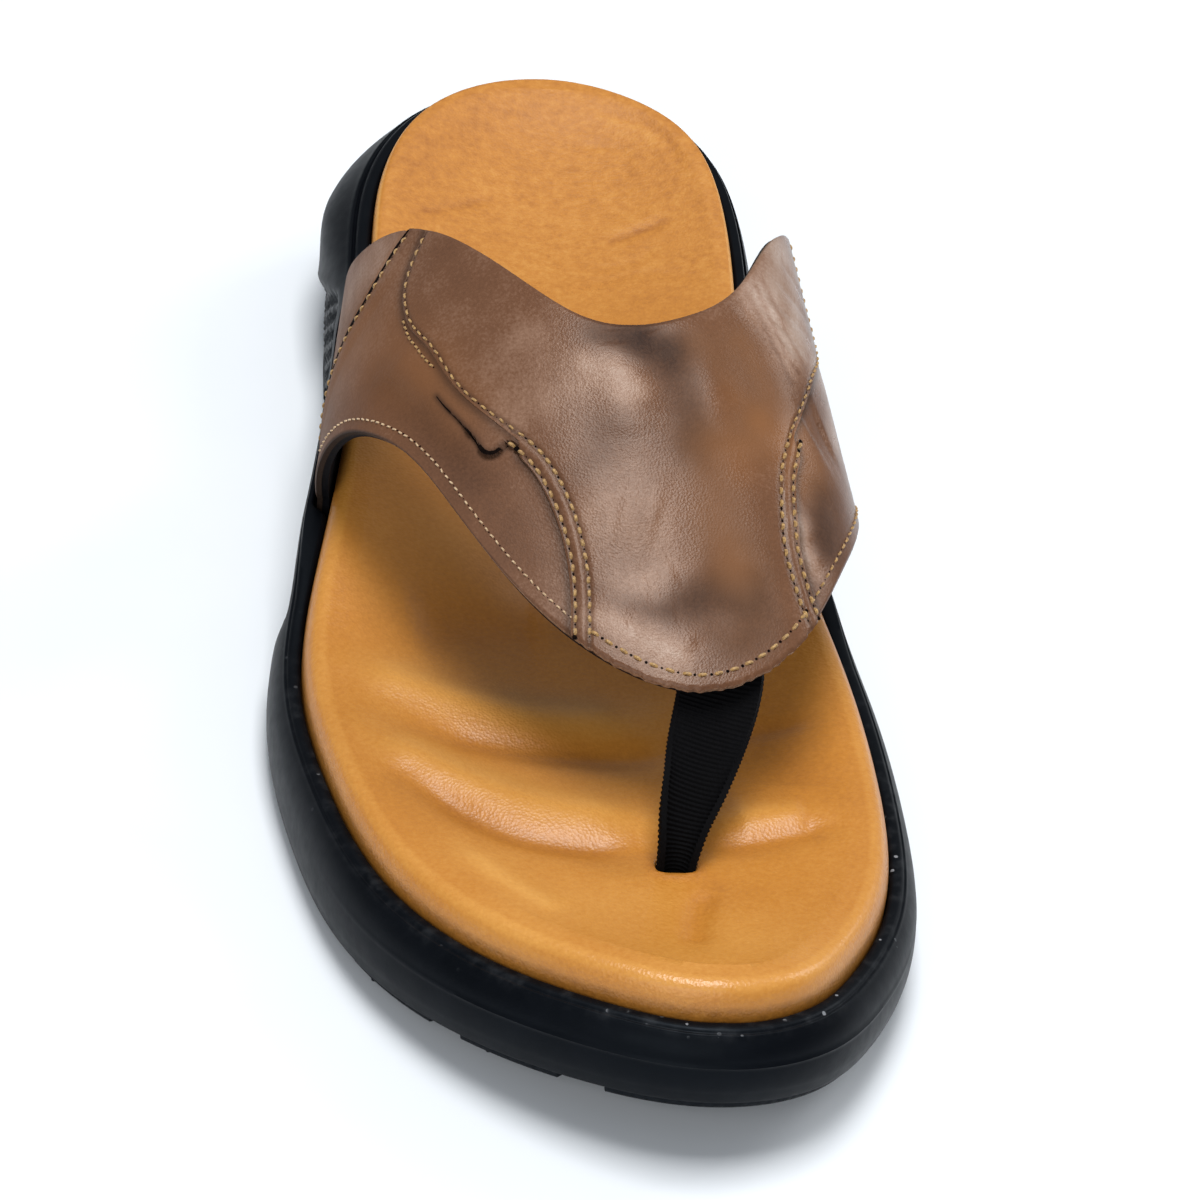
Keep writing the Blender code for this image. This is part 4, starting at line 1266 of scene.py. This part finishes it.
def stroke_sum(places, strokes, line_of):
    """The height that soft strokes add at each place."""
    total = np.zeros(places.shape[:-1])
    for stroke in strokes:
        line = line_of(through(stroke.points))
        far, which = nearest(places, line)
        from_end = np.minimum(which, len(line) - 1 - which) / len(line)
        kept = STROKE_END + (1 - STROKE_END) * smooth(from_end / STROKE_FADE)
        total += stroke.height * hump(far / stroke.width) * kept
    return total


def slot_outline(grow):
    """The slot's plan, an oval with fuller corners than an ellipse, grown on all sides."""
    turns = np.arange(SLOT_STEPS) * (2 * math.pi / SLOT_STEPS)
    across, along = np.cos(turns), np.sin(turns)
    reach = (np.abs(across) ** SLOT_POWER + np.abs(along) ** SLOT_POWER) ** (-1 / SLOT_POWER)
    post = POSTS[0]
    half = np.array((post.width / 2 + grow, post.thickness / 2 + grow))
    return np.stack([across * reach, along * reach], -1) * half + (post.x, post.station)


def build_footbed():
    outline = Outline(FOOTBED_STEPS)
    raised = smooth((outline.station - HEEL_CREST_START) / HEEL_CREST_RAMP)
    rim = outline.of("rim")
    crest = outline.of("crest") + HEEL_CREST * raised
    dish = np.maximum(outline.of("dish") - HEEL_FLATTER * raised, 0)
    tighter = smooth((outline.station - HEEL_ROLL_START) / (HEEL_ROLL_END - HEEL_ROLL_START))
    width = 1 + (HEEL_ROLL_SHARE - 1) * tighter
    rings = [outline.ring(0, rim - outline.of("seat") + GAP)]
    rings += [outline.ring(-roll.inset * width, rim + crest * roll.share) for roll in ROLLS]
    count = len(rim)
    bottom, bottom_faces = cap_between(rings[0], outline.steps, SOLE_CROSS_STEPS)
    top, top_faces = cap_between(rings[-1], outline.steps, FOOTBED_CROSS_STEPS)
    shares = np.tile(np.arange(1, FOOTBED_CROSS_STEPS) / FOOTBED_CROSS_STEPS, outline.steps - 1)
    sunk = np.repeat(dish[1 : outline.steps], FOOTBED_CROSS_STEPS - 1)
    top[:, 2] -= sunk * (1 - (2 * shares - 1) ** 2)
    total = len(rings) * count
    faces = grid_faces(len(rings), count, wrap=True).tolist()
    faces += cap_faces(top_faces, count, total - count, total)
    faces += cap_faces(bottom_faces, count, 0, total + len(top))
    points = np.concatenate(rings + [top, bottom])
    counts = [count] * len(rings) + [len(top), len(bottom)]

    def by_ring(values, over_top):
        """A value for each ring of the roll and one for the top, spread over all the points."""
        return np.repeat([0.0, *values, over_top, 0.0], counts)

    upside = by_ring([smooth(roll.share) for roll in ROLLS], 1.0)
    gloss = by_ring([float(ROLL_GLOSS[0] < roll.inset < ROLL_GLOSS[1]) for roll in ROLLS], 0.0)
    fray = by_ring([float(roll.share < FRAY_AND_SHADE_SHARE) for roll in ROLLS], 0.0)
    edge_highlight = by_ring([float(FRAY_AND_SHADE_SHARE < roll.share < EDGE_HIGHLIGHT_SHARE) for roll in ROLLS], 0.0)
    swell = stroke_sum(points[:, :2], BED_STROKES, np.asarray) * upside
    far, _ = nearest(points[:, :2], slot_outline(0))
    near_slot = hump(far / SLOT_LIP_WIDTH) * upside
    points[:, 2] += swell + SLOT_LIP * near_slot
    heel = smooth((points[:, 1] - HEEL_START) / HEEL_RAMP) * upside
    # Painted highlight on the ridges and painted shade in the troughs, then the paler and darker streaks
    tone = np.clip(swell * SWELL_TONE, -SWELL_TONE_LIMIT, SWELL_TONE_LIMIT)
    tone = tone + stroke_sum(points[:, :2], BED_TONES, np.asarray) * upside
    # Painted shade round the slot, a painted highlight along the heel's edge, and a painted highlight on
    # the toe's rolled edge
    tone = tone + SLOT_TONE * near_slot + HEEL_EDGE_TONE * edge_highlight * heel + ROLL_TONE * gloss * (1 - heel)
    shape = Shape()
    shape.add(points, faces, tone=tone, heel=heel, gloss=gloss, fray=fray * (1 - heel))
    footbed = shape.object("footbed_pad", [footbed_leather()])
    cut_slot(footbed)
    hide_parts("footbed")


def cut_slot(footbed):
    """Cuts the toe post's slot through the footbed."""
    plan = slot_outline(SLOT_CLEARANCE)
    cutter = Shape()
    low = seat_height(POSTS[0].station) - CUTTER_DROP
    rings = [np.column_stack([plan, np.full(len(plan), low + lift)]) for lift in (0, CUTTER_HEIGHT)]
    cutter.add(np.concatenate(rings), prism_faces(2, len(plan)))
    tool = cutter.object("slot_cutter", [])
    boolean = footbed.modifiers.new("slot", "BOOLEAN")
    boolean.object = tool
    boolean.operation = "DIFFERENCE"
    boolean.solver = "EXACT"
    bpy.context.view_layer.update()
    graph = bpy.context.evaluated_depsgraph_get()
    whole = footbed.data
    footbed.data = bpy.data.meshes.new_from_object(footbed.evaluated_get(graph))
    footbed.modifiers.clear()
    form = bmesh.new()
    form.from_mesh(footbed.data)
    many_sided = [face for face in form.faces if len(face.verts) > 4]
    bmesh.ops.triangulate(form, faces=many_sided, ngon_method="BEAUTY")
    form.to_mesh(footbed.data)
    form.free()
    bpy.data.objects.remove(tool)
    bpy.data.meshes.remove(whole)


# Upper

class Line:
    """A line on the upper's outer face, by the share of its length."""

    def __init__(self, places):
        self.places = np.asarray(places, float)
        self.points = skin(self.places)
        steps = np.linalg.norm(np.diff(self.points, axis=0), axis=1)
        self.length = steps.sum()
        self.shares = np.concatenate([[0], np.cumsum(steps)]) / self.length

    def at(self, share):
        return np.stack([np.interp(share, self.shares, self.places[:, k]) for k in (0, 1)], -1)

    def part(self, start, end):
        inside = self.shares[(self.shares > start) & (self.shares < end)]
        return Line(self.at(np.concatenate([[start], inside, [end]])))

    def shifted(self, distance):
        """The line moved sideways on the face, to the left as it runs."""
        along = unit(np.gradient(self.points, axis=0))
        side = np.cross(skin_normal(self.places), along)
        by_angle, by_station = skin_slopes(self.places)
        aa = (by_angle**2).sum(-1)
        ab = (by_angle * by_station).sum(-1)
        bb = (by_station**2).sum(-1)
        a = (by_angle * side).sum(-1) * distance
        b = (by_station * side).sum(-1) * distance
        scale = aa * bb - ab**2
        moves = np.stack([(a * bb - b * ab) / scale, (b * aa - a * ab) / scale], -1)
        return Line(self.places + moves)

    def between_cuts(self):
        """The part of the line that lies on the upper, from its rear cut to its front cut."""
        angles, stations = self.places.T
        inside = self.places[(stations > CUT["front"](angles)) & (stations < CUT["rear"](angles))]
        first, last = inside[0, 0], inside[-1, 0]
        return Line(np.concatenate([[(first, CUT["rear"](first))], inside, [(last, CUT["front"](last))]]))


def cut_line(name, start, end, count=CUT_STEPS):
    angles = np.linspace(start, end, count)
    return Line(np.column_stack([angles, CUT[name](angles)]))


def ragged(line):
    """A cut edge that wanders a little outwards between its ends."""
    place = line.shares * line.length
    wander = sum(1 + np.sin(2 * np.pi * place / wave + phase) for wave, phase in RAGGED_WAVES)
    ends = smooth(np.minimum(line.shares, 1 - line.shares) / RAGGED_FADE)
    return line.shifted(-RAGGED / (2 * len(RAGGED_WAVES)) * wander * ends)


def foot_line(angle, start, end):
    stations = np.linspace(start, end, FOOT_STEPS)
    return Line(np.column_stack([np.full(FOOT_STEPS, angle), stations]))


def joined(*lines):
    return Line(np.concatenate([line.places for line in lines]))


def ticks(length):
    """Shares of a length, closer together beside both ends."""
    even = np.linspace(0, 1, max(3, round(length / PANEL_STEP)) + 1)[1:-1]
    edge = np.array(EDGE_TICKS) / length
    clear = edge[-1] * EDGE_CLEAR
    middle = even[(even > clear) & (even < 1 - clear)]
    return np.concatenate([[0], edge, middle, 1 - edge[::-1], [1]])


def patch(low, high, start, end):
    """Places between four lines: low and high run the same way, from start's line to end's."""
    u = ticks(max(low.length, high.length))[None, :, None]
    v = ticks(max(start.length, end.length))[:, None, None]
    bottom, top = low.at(u[0, :, 0])[None], high.at(u[0, :, 0])[None]
    left, right = start.at(v[:, 0, 0])[:, None], end.at(v[:, 0, 0])[:, None]
    corners = (1 - u) * (1 - v) * bottom[:, :1] + u * (1 - v) * bottom[:, -1:]
    corners = corners + (1 - u) * v * top[:, :1] + u * v * top[:, -1:]
    return (1 - v) * bottom + v * top + (1 - u) * left + u * right - corners


def border_distance(points):
    """How far each point of a grid is from the grid's nearest border."""
    far = np.full(points.shape[:2], np.inf)
    for axis in (0, 1):
        steps = np.linalg.norm(np.diff(points, axis=axis), axis=-1)
        start = np.zeros_like(np.take(steps, [0], axis=axis))
        along = np.concatenate([start, np.cumsum(steps, axis=axis)], axis=axis)
        total = np.take(along, [-1], axis=axis)
        far = np.minimum(far, np.minimum(along, total - along))
    return far


def shade_sum(points, shades, key):
    total = np.zeros(points.shape[:-1])
    for shade in shades:
        if getattr(shade, key):
            far, _ = nearest(points, skin(through(shade.points)))
            total += getattr(shade, key) * hump(far / shade.width)
    return total


class Seam:
    """Where the middle panel lies over a side panel: its rows of stitches and its cut edge."""

    def __init__(self, points, double, side):
        self.row = Line(through(points))
        share = np.interp(-double, -self.row.places[:, 1], self.row.shares)
        extra = DOUBLE_GAP * smooth((self.row.shares - share + DOUBLE_RAMP / 2) / DOUBLE_RAMP)
        self.edge = self.row.shifted(side * (ROW_MARGIN + extra)).between_cuts()
        self.single = self.row.part(SEAM_START, share)
        self.double = self.row.part(share, SEAM_END)
        self.second = self.row.shifted(side * DOUBLE_GAP).part(share, SEAM_END)
        self.welt = self.row.shifted(side * DOUBLE_GAP / 2).part(share, 1)
        self.under = self.edge.shifted(-side * UNDERLAP).between_cuts()
        self.turned = 1 - smooth((self.edge.shares - share + TURNED_LEAD) / TURNED_RAMP)

    def step(self, which):
        return SEAM_STEP + (TURNED_STEP - SEAM_STEP) * self.turned[which]

    def leather(self, which):
        return SEAM_LEATHER + (TURNED_LEATHER - SEAM_LEATHER) * self.turned[which]

    def lift(self, points):
        """How far the middle panel is raised over the side panel beneath it, and its thickness there."""
        far, which = nearest(points, self.edge.points)
        share = 1 - smooth((far - LIFT_FLAT) / (LIFT_END - LIFT_FLAT))
        thin = (self.leather(which) - LEATHER) * (1 - smooth((far - SKIVE_START) / LIFT_FLAT))
        lift = self.step(which) * share + WELT * hump(nearest(points, self.welt.points)[0] / WELT_WIDTH)
        for row in (self.row, self.second):
            lift -= ROW_SINK * hump(nearest(points, row.points)[0] / ROW_SINK_WIDTH)
        return lift, thin

    def dip(self, points):
        """How far the side panel sinks beside the edge that covers it."""
        far, which = nearest(points, self.edge.points)
        depth = self.step(which) - self.leather(which) - SEAM_CLEARANCE
        return depth * (1 - smooth((far - UNDERLAP) / DIP_RAMP))


LATERAL_JOIN = Seam(LATERAL_SEAM, LATERAL_DOUBLE, LATERAL)
MEDIAL_JOIN = Seam(MEDIAL_SEAM, MEDIAL_DOUBLE, MEDIAL)
REAR_LINE = Line(through(REAR_SEAM))
SLIT_LINE = Line(through(SLIT))


def dents(points):
    return stroke_sum(points, UPPER_STROKES, skin)


def line_shadows(points, *lines):
    """The painted shade along sewn rows and other sunk lines."""
    dark = np.zeros(points.shape[:-1])
    for line, shadow in lines:
        dark = np.maximum(dark, shadow.depth * hump(nearest(points, line.points)[0] / shadow.width))
    return dark


def even_leather(points):
    return np.full(points.shape[:-1], LEATHER)


def vamp_form(points):
    """The middle panel's height above the upper's plain face, its thickness, and the painted shade along
    its rows.
    """
    lateral, lateral_less = LATERAL_JOIN.lift(points)
    medial, medial_less = MEDIAL_JOIN.lift(points)
    rows = [(line, ROW_SHADOW) for join in (LATERAL_JOIN, MEDIAL_JOIN) for line in (join.row, join.second)]
    height = dents(points) + lateral + medial
    return height, LEATHER + lateral_less + medial_less, line_shadows(points, *rows)


def slit_step(points):
    """The leather lifted along the slit's upper lip, and sunk along its lower one."""
    far, which = nearest(points, SLIT_LINE.points)
    along = unit(np.gradient(SLIT_LINE.points, axis=0))
    side = np.cross(skin_normal(SLIT_LINE.places), along)
    above = ((points - SLIT_LINE.points[which]) * side[which]).sum(-1) > 0
    share = smooth(SLIT_LINE.shares[which] / SLIT_FADE)
    sunk = -SLIT_SINK * hump(far / SLIT_SINK_WIDTH)
    return SLIT_LIFT * share * np.where(above, hump(far / SLIT_LIP_WIDTH), sunk)


def lateral_form(points):
    rear, _ = nearest(points, REAR_LINE.points)
    over = REAR_OVER * (1 - smooth((rear - REAR_OVER_FLAT) / REAR_OVER_RAMP))
    height = dents(points) + LATERAL_JOIN.dip(points) + slit_step(points) + over
    lines = (SLIT_LINE, SLIT_SHADOW), (REAR_LINE, REAR_SHADOW), (LATERAL_JOIN.edge, JOIN_SHADOW)
    return height, even_leather(points), line_shadows(points, *lines)


def medial_form(points):
    dark = line_shadows(points, (MEDIAL_JOIN.edge, JOIN_SHADOW))
    return dents(points) + MEDIAL_JOIN.dip(points), even_leather(points), dark


def rear_form(points):
    far, _ = nearest(points, REAR_LINE.points)
    height = dents(points) - REAR_SINK * (1 - smooth((far - REAR_SINK_FLAT) / REAR_SINK_RAMP))
    return height, even_leather(points), line_shadows(points, (REAR_LINE, REAR_PANEL_SHADOW))


def foot_rows(points, stations):
    """Rows that carry a panel's foot, its first row, down into the sole's pocket."""
    drop = girdle("seat", stations) - 2 * GAP
    steps = np.linspace(1, 0, FOOT_ROWS, endpoint=False)[:, None]
    rows = np.repeat(points[:1], len(steps), axis=0)
    rows[..., 2] -= steps * drop
    return rows


def shell(shape, outer, inner, **shades):
    """A closed skin with cut edges between its two faces."""
    rows, cols = outer.shape[:2]
    second = rows * cols
    faces = grid_faces(rows, cols)
    index = np.arange(second).reshape(rows, cols)
    border = np.concatenate([index[0, :-1], index[:-1, -1], index[-1, :0:-1], index[:0:-1, 0]])
    ahead = np.roll(border, -1)
    sides = np.stack([border, ahead, ahead + second, border + second], -1)
    first = shape.count
    points = np.concatenate([outer.reshape(-1, 3), inner.reshape(-1, 3)])
    shades = {key: np.tile(np.ravel(value), 2) for key, value in shades.items()}
    shape.add(points, faces.tolist() + (faces[:, ::-1] + second).tolist(), **shades)
    shape.faces += (sides + first).tolist()
    shape.kinds += [1] * len(sides)


def build_panel(name, places, form, footed, materials):
    base = skin(places)
    normal = skin_normal(places)
    height, thickness, dark = form(base)
    border = border_distance(base)
    height = height - EDGE_ROUND * (1 - smooth(border / EDGE_ROUND_WIDTH))
    outer = base + normal * height[..., None]
    inner = base + normal * (height - thickness)[..., None]
    # tone holds painted highlights, sheen, dark reflections and crease shade, with some of the leather's
    # own mottling
    shades = {key: shade_sum(base, UPPER_SHADES, key) for key in ("tone", "warm")}
    shades["matte"] = smooth((MATTE_END - places[..., 0]) / MATTE_RAMP)
    low = smooth((np.abs(places[..., 0] - 90) - LOW_EDGE) / LOW_EDGE_RAMP)
    # painted shade along the cut edges, much darker low on the sides
    edge_dark = (EDGE_DARK + LOW_EDGE_DARK * low) * hump(border / EDGE_DARK_WIDTH)
    shades["crease"] = np.maximum(dark, edge_dark)
    if footed:
        stations = base[0, :, 1]
        outer, inner = (np.concatenate([foot_rows(face, stations), face]) for face in (outer, inner))
        for key, values in shades.items():
            shades[key] = np.concatenate([np.repeat(values[:1], FOOT_ROWS, axis=0), values])
    shape = Shape()
    shell(shape, outer, inner, **shades)
    panel = shape.object(name, materials)
    return panel


def lining_places():
    across, along = LINING_STEPS
    angles = np.linspace(0, 180, across)
    shares = np.linspace(0, 1, along)
    front = CUT["front"](angles) + LINING_INSET
    rear = CUT["rear"](angles) - LINING_INSET
    stations = front[:, None] + (rear - front)[:, None] * shares
    return np.stack([np.broadcast_to(angles[:, None], stations.shape), stations], -1)


def build_lining():
    places = lining_places()
    base, normal = skin(places), skin_normal(places)
    outer = base - normal * (LEATHER + LINING_GAP) + normal * np.minimum(dents(base), 0)[..., None]
    inner = outer - normal * LINING
    faces = []
    for face in (outer, inner):
        lateral_foot = foot_rows(face, face[0, :, 1])
        medial_foot = foot_rows(face[::-1], face[-1, :, 1])[::-1]
        faces.append(np.concatenate([lateral_foot, face, medial_foot]))
    shape = Shape()
    shell(shape, *faces)
    black = lining_leather()
    lining = shape.object("upper_lining", [black, black])


def build_upper():
    materials = [upper_leather(), raw_edge()]
    lateral_start, lateral_end = LATERAL_JOIN.edge.places[[0, -1], 0]
    medial_start, medial_end = MEDIAL_JOIN.edge.places[[0, -1], 0]
    collar = cut_line("rear", lateral_start, medial_start)
    tongue = ragged(cut_line("front", lateral_end, medial_end))
    places = patch(collar, tongue, LATERAL_JOIN.edge, MEDIAL_JOIN.edge)
    vamp = build_panel("upper_middle_panel", places, vamp_form, False, materials)
    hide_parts("upper")
    rear_angle = REAR_LINE.places[0, 0]
    rear_foot = REAR_LINE.places[-1, 1]
    rear_seam = Line(REAR_LINE.places[::-1])
    under = LATERAL_JOIN.under
    foot = foot_line(0.0, rear_foot, CUTS[0].front)
    collar = cut_line("rear", rear_angle, under.places[0, 0], SHORT_CUT_STEPS)
    front = cut_line("front", 0.0, under.places[-1, 0])
    places = patch(foot, under, joined(rear_seam, collar), front)
    build_panel("upper_outer_panel", places, lateral_form, True, materials)
    foot = foot_line(0.0, CUTS[0].rear, rear_foot)
    tip = cut_line("rear", rear_angle - REAR_TIP, rear_angle, TIP_STEPS)
    rear = cut_line("rear", 0.0, rear_angle - REAR_TIP)
    build_panel("upper_rear_panel", patch(foot, tip, rear, rear_seam), rear_form, True, materials)
    under = MEDIAL_JOIN.under
    foot = foot_line(180.0, CUTS[-1].rear, CUTS[-1].front)
    rear = cut_line("rear", 180.0, under.places[0, 0])
    front = cut_line("front", 180.0, under.places[-1, 0])
    build_panel("upper_inner_panel", patch(foot, under, rear, front), medial_form, True, materials)
    build_lining()


# Stitches

def thread_rings(centres, sides, normals, radii):
    turns = np.arange(THREAD_SIDES) * (2 * math.pi / THREAD_SIDES)
    rings = centres[:, None] + (
        np.cos(turns)[None, :, None] * sides[:, None] + np.sin(turns)[None, :, None] * normals[:, None]
    ) * radii[:, None, None]
    return rings.reshape(-1, 3), prism_faces(len(rings), THREAD_SIDES)


def add_stitches(threads, holes, line, form, pitch, radius, random):
    """A row of stitches, each a short arch of thread between two holes."""
    count = max(1, round(line.length / pitch))
    rise, swell = np.array(THREAD_PROFILE).T
    middles = (np.arange(count) + 0.5 + random.uniform(-STITCH_JITTER, STITCH_JITTER, count)) / count
    half = THREAD_SHARE / 2 / count
    places = line.at((middles[:, None] + np.linspace(-half, half, len(rise))).clip(0, 1))
    base, normal = skin(places), skin_normal(places)
    side = unit(np.cross(normal, unit(np.gradient(base, axis=1))))
    lean = random.uniform(-STITCH_LEAN, STITCH_LEAN, count)[:, None] * np.linspace(-1, 1, len(rise))
    centres = base + normal * (form(base)[0] + rise)[..., None] + side * lean[..., None]
    for centre, across, up in zip(centres, side, normal):
        threads.add(*thread_rings(centre, across, up, radius * swell))
    places = line.at((np.arange(count + 1) / count).clip(*ROW_ENDS))
    base, normal = skin(places), skin_normal(places)
    sizes = HOLE_SHARE * radius * random.uniform(*HOLE_JITTER, count + 1)
    for point, up, lift, size in zip(base, normal, form(base)[0], sizes):
        add_hole(holes, point + up * (lift - HOLE_SINK), up, size)


def add_hole(holes, centre, up, radius):
    """A needle hole: a small dark lens set into the leather, painted shade for the hole's dark inside."""
    side = unit(np.cross(up, HOLE_ASIDE))
    other = np.cross(up, side)
    turns = np.arange(HOLE_SIDES) * (2 * math.pi / HOLE_SIDES)
    circle = np.cos(turns)[:, None] * side + np.sin(turns)[:, None] * other
    points = [centre + up * HOLE_TOP, *(centre + circle * radius), centre - up * HOLE_DEPTH]
    rim = range(1, HOLE_SIDES + 1)
    sides = list(zip(rim, [*rim[1:], rim[0]]))
    holes.add(points, [[0, a, b] for a, b in sides] + [[HOLE_SIDES + 1, b, a] for a, b in sides])


def add_groove(holes, line, widths, form):
    """A dark opening along a line, as a thin lens that follows the leather, painted shade for the opening's
    dark inside.
    """
    shares = np.linspace(0, 1, GROOVE_STEPS)
    places = line.at(shares)
    base, normal = skin(places), skin_normal(places)
    side = unit(np.cross(normal, unit(np.gradient(base, axis=0))))
    half = np.interp(shares, np.linspace(0, 1, len(widths)), widths)[:, None]
    middle = base + normal * form(base)[0][:, None]
    top, bottom = middle + normal * GROOVE_TOP, middle - normal * GROOVE_DEPTH
    rows = [middle + side * half, top, middle - side * half, bottom]
    holes.add(np.stack(rows, 1), prism_faces(GROOVE_STEPS, len(rows)))


def front_row(start, end):
    """The row of stitches along the front edge between two angles."""
    return cut_line("front", start, end).shifted(FRONT_MARGIN)


def build_stitches():
    random = np.random.default_rng(SEED)
    gold, cream, holes = Shape(), Shape(), Shape()
    lateral_front = LATERAL_JOIN.edge.places[-1, 0]
    medial_front = MEDIAL_JOIN.edge.places[-1, 0]
    lateral_row = front_row(FRONT_ROW_START, lateral_front - SIDE_ROW_CLEAR)
    tongue_row = front_row(lateral_front + TONGUE_ROW_CLEAR, medial_front - TONGUE_ROW_CLEAR)
    medial_row = front_row(medial_front + SIDE_ROW_CLEAR, FRONT_ROW_END)
    rear_row = REAR_LINE.shifted(REAR_ROW_SHIFT).part(*REAR_ROW)
    rows = []
    for join in (LATERAL_JOIN, MEDIAL_JOIN):
        rows.append((gold, join.single, vamp_form, SEAM_PITCH, FINE_THREAD))
        rows.append((gold, join.double, vamp_form, SEAM_PITCH, BOLD_THREAD))
        rows.append((gold, join.second, vamp_form, SEAM_PITCH, BOLD_THREAD))
    rows.append((gold, rear_row, lateral_form, SEAM_PITCH, FINE_THREAD))
    rows.append((gold, Line(through(SHORT_ROW)), lateral_form, PALE_PITCH, FINE_THREAD))
    rows.append((cream, lateral_row, lateral_form, PALE_PITCH, PALE_THREAD))
    rows.append((gold, tongue_row, vamp_form, FRONT_PITCH, BOLD_THREAD))
    rows.append((gold, medial_row, medial_form, SEAM_PITCH, FINE_THREAD))
    for threads, line, form, pitch, radius in rows:
        add_stitches(threads, holes, line, form, pitch, radius, random)
    add_groove(holes, SLIT_LINE, SLIT_WIDTHS, lateral_form)
    add_groove(holes, REAR_LINE.shifted(REAR_GROOVE_SHIFT).part(*REAR_GROOVE), REAR_WIDTHS, lateral_form)
    gold_thread = thread_look("gold_thread", (0.17, 0.083, 0.022), (0.54, 0.33, 0.115))
    pale_thread = thread_look("pale_thread", (0.34, 0.21, 0.105), (0.72, 0.53, 0.33))
    pieces = (
        gold.object("gold_stitches", [gold_thread]),
        cream.object("pale_stitches", [pale_thread]),
        holes.object("stitch_holes", [hole_look()]),
    )


# Toe post

def post_route():
    """The post's centre line with its width and thickness, from the seat to its sewn end."""
    seat = seat_height(POSTS[0].station) + GAP
    rows = [(post.x, post.station, seat + post.lift, post.width, post.thickness) for post in POSTS]
    below = UPPER_WALL + GAP + POST_END_THICKNESS / 2
    for station in POST_UNDER_UPPER:
        place = np.array([POST_ANGLE, station])
        crown = skin(place) - skin_normal(place) * below
        rows.append((*crown, POST_END_WIDTH, POST_END_THICKNESS))
    rows = np.array(rows)
    lengths = np.linalg.norm(np.diff(rows[:, :3], axis=0), axis=1)
    places = np.concatenate([[0], np.cumsum(lengths)])
    steps = round(places[-1] / RIB_PITCH * ROWS_PER_RIB)
    samples = np.linspace(0, places[-1], steps + 1)
    return samples, np.column_stack([natural_cubic(places, column)(samples) for column in rows.T])


def build_toe_post():
    """Webbing folded lengthwise into a channel that opens towards the toe, with ribs across it."""
    samples, route = post_route()
    direction = unit(np.gradient(route[:, :3], axis=0))
    over = unit(np.cross(direction, (1.0, 0, 0)))
    across = np.cross(over, direction)
    folded = 1 - smooth((samples - UNFOLD_START) / UNFOLD_LENGTH)[:, None]
    most = FLAT_TURN + (FOLD_TURN - FLAT_TURN) * folded
    turns = np.linspace(-1, 1, POST_COLUMNS + 1)[None] * most
    half = (route[:, 3:4] - WEBBING) / 2
    depth = (route[:, 4:5] - WEBBING) * (FLAT_DEPTH + (1 - FLAT_DEPTH) * folded)
    wide = half * np.sin(turns) / np.sin(np.minimum(most, math.pi / 2))
    deep = depth * (0.5 - (1 - np.cos(turns)) / (1 - np.cos(most)))
    rib = RIB_HEIGHT * np.cos(2 * math.pi * samples / RIB_PITCH)[:, None]
    faces = []
    for sign in (1, -1):
        lift = sign * (WEBBING / 2 + rib)
        x = wide + lift * np.sin(turns)
        y = deep + lift * np.cos(turns)
        faces.append(route[:, None, :3] + x[..., None] * across[:, None] + y[..., None] * over[:, None])
    shape = Shape()
    shell(shape, *faces)
    black = webbing_look()
    post = shape.object("toe_post_webbing", [black, black])
    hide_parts("toe_post")


# Floor, light and camera

def build_stage():
    mesh = bpy.data.meshes.new("floor")
    corners = [(x * FLOOR_HALF, y * FLOOR_HALF, 0) for x, y in ((-1, -1), (1, -1), (1, 1), (-1, 1))]
    mesh.from_pydata(corners, [], [(0, 1, 2, 3)])
    mesh.materials.append(floor_look())
    floor = bpy.data.objects.new("floor", mesh)
    bpy.context.scene.collection.objects.link(floor)


def add_softbox(box):
    light = bpy.data.lights.new(box.name, "AREA")
    light.shape = "RECTANGLE"
    light.size, light.size_y = box.size
    light.energy = box.power
    light.color = LAMP_COLOUR
    lamp = bpy.data.objects.new(box.name, light)
    lamp.location = box.place
    lamp.rotation_euler = (Vector(box.aim) - Vector(box.place)).to_track_quat("-Z", "Y").to_euler()
    bpy.context.scene.collection.objects.link(lamp)


def build_light():
    world = bpy.data.worlds.new("studio")
    world.use_nodes = True
    background = world.node_tree.nodes["Background"]
    background.inputs["Color"].default_value = SKY_COLOUR
    background.inputs["Strength"].default_value = SKY_STRENGTH
    bpy.context.scene.world = world
    for box in SOFTBOXES:
        add_softbox(box)
    bpy.context.scene.view_settings.view_transform = "Standard"


def build_camera():
    data = bpy.data.cameras.new("camera")
    data.lens = CAMERA_LENS
    data.sensor_width = SENSOR
    data.clip_start, data.clip_end = CLIP
    camera = bpy.data.objects.new("camera", data)
    camera.location = CAMERA_PLACE
    level = (CAMERA_AIM - CAMERA_PLACE).to_track_quat("-Z", "Y")
    camera.rotation_mode = "QUATERNION"
    camera.rotation_quaternion = level @ Quaternion((0, 0, 1), CAMERA_ROLL)
    bpy.context.scene.collection.objects.link(camera)
    bpy.context.scene.camera = camera


build_sole()
build_footbed()
build_upper()
build_stitches()
build_toe_post()
build_stage()
build_light()
build_camera()
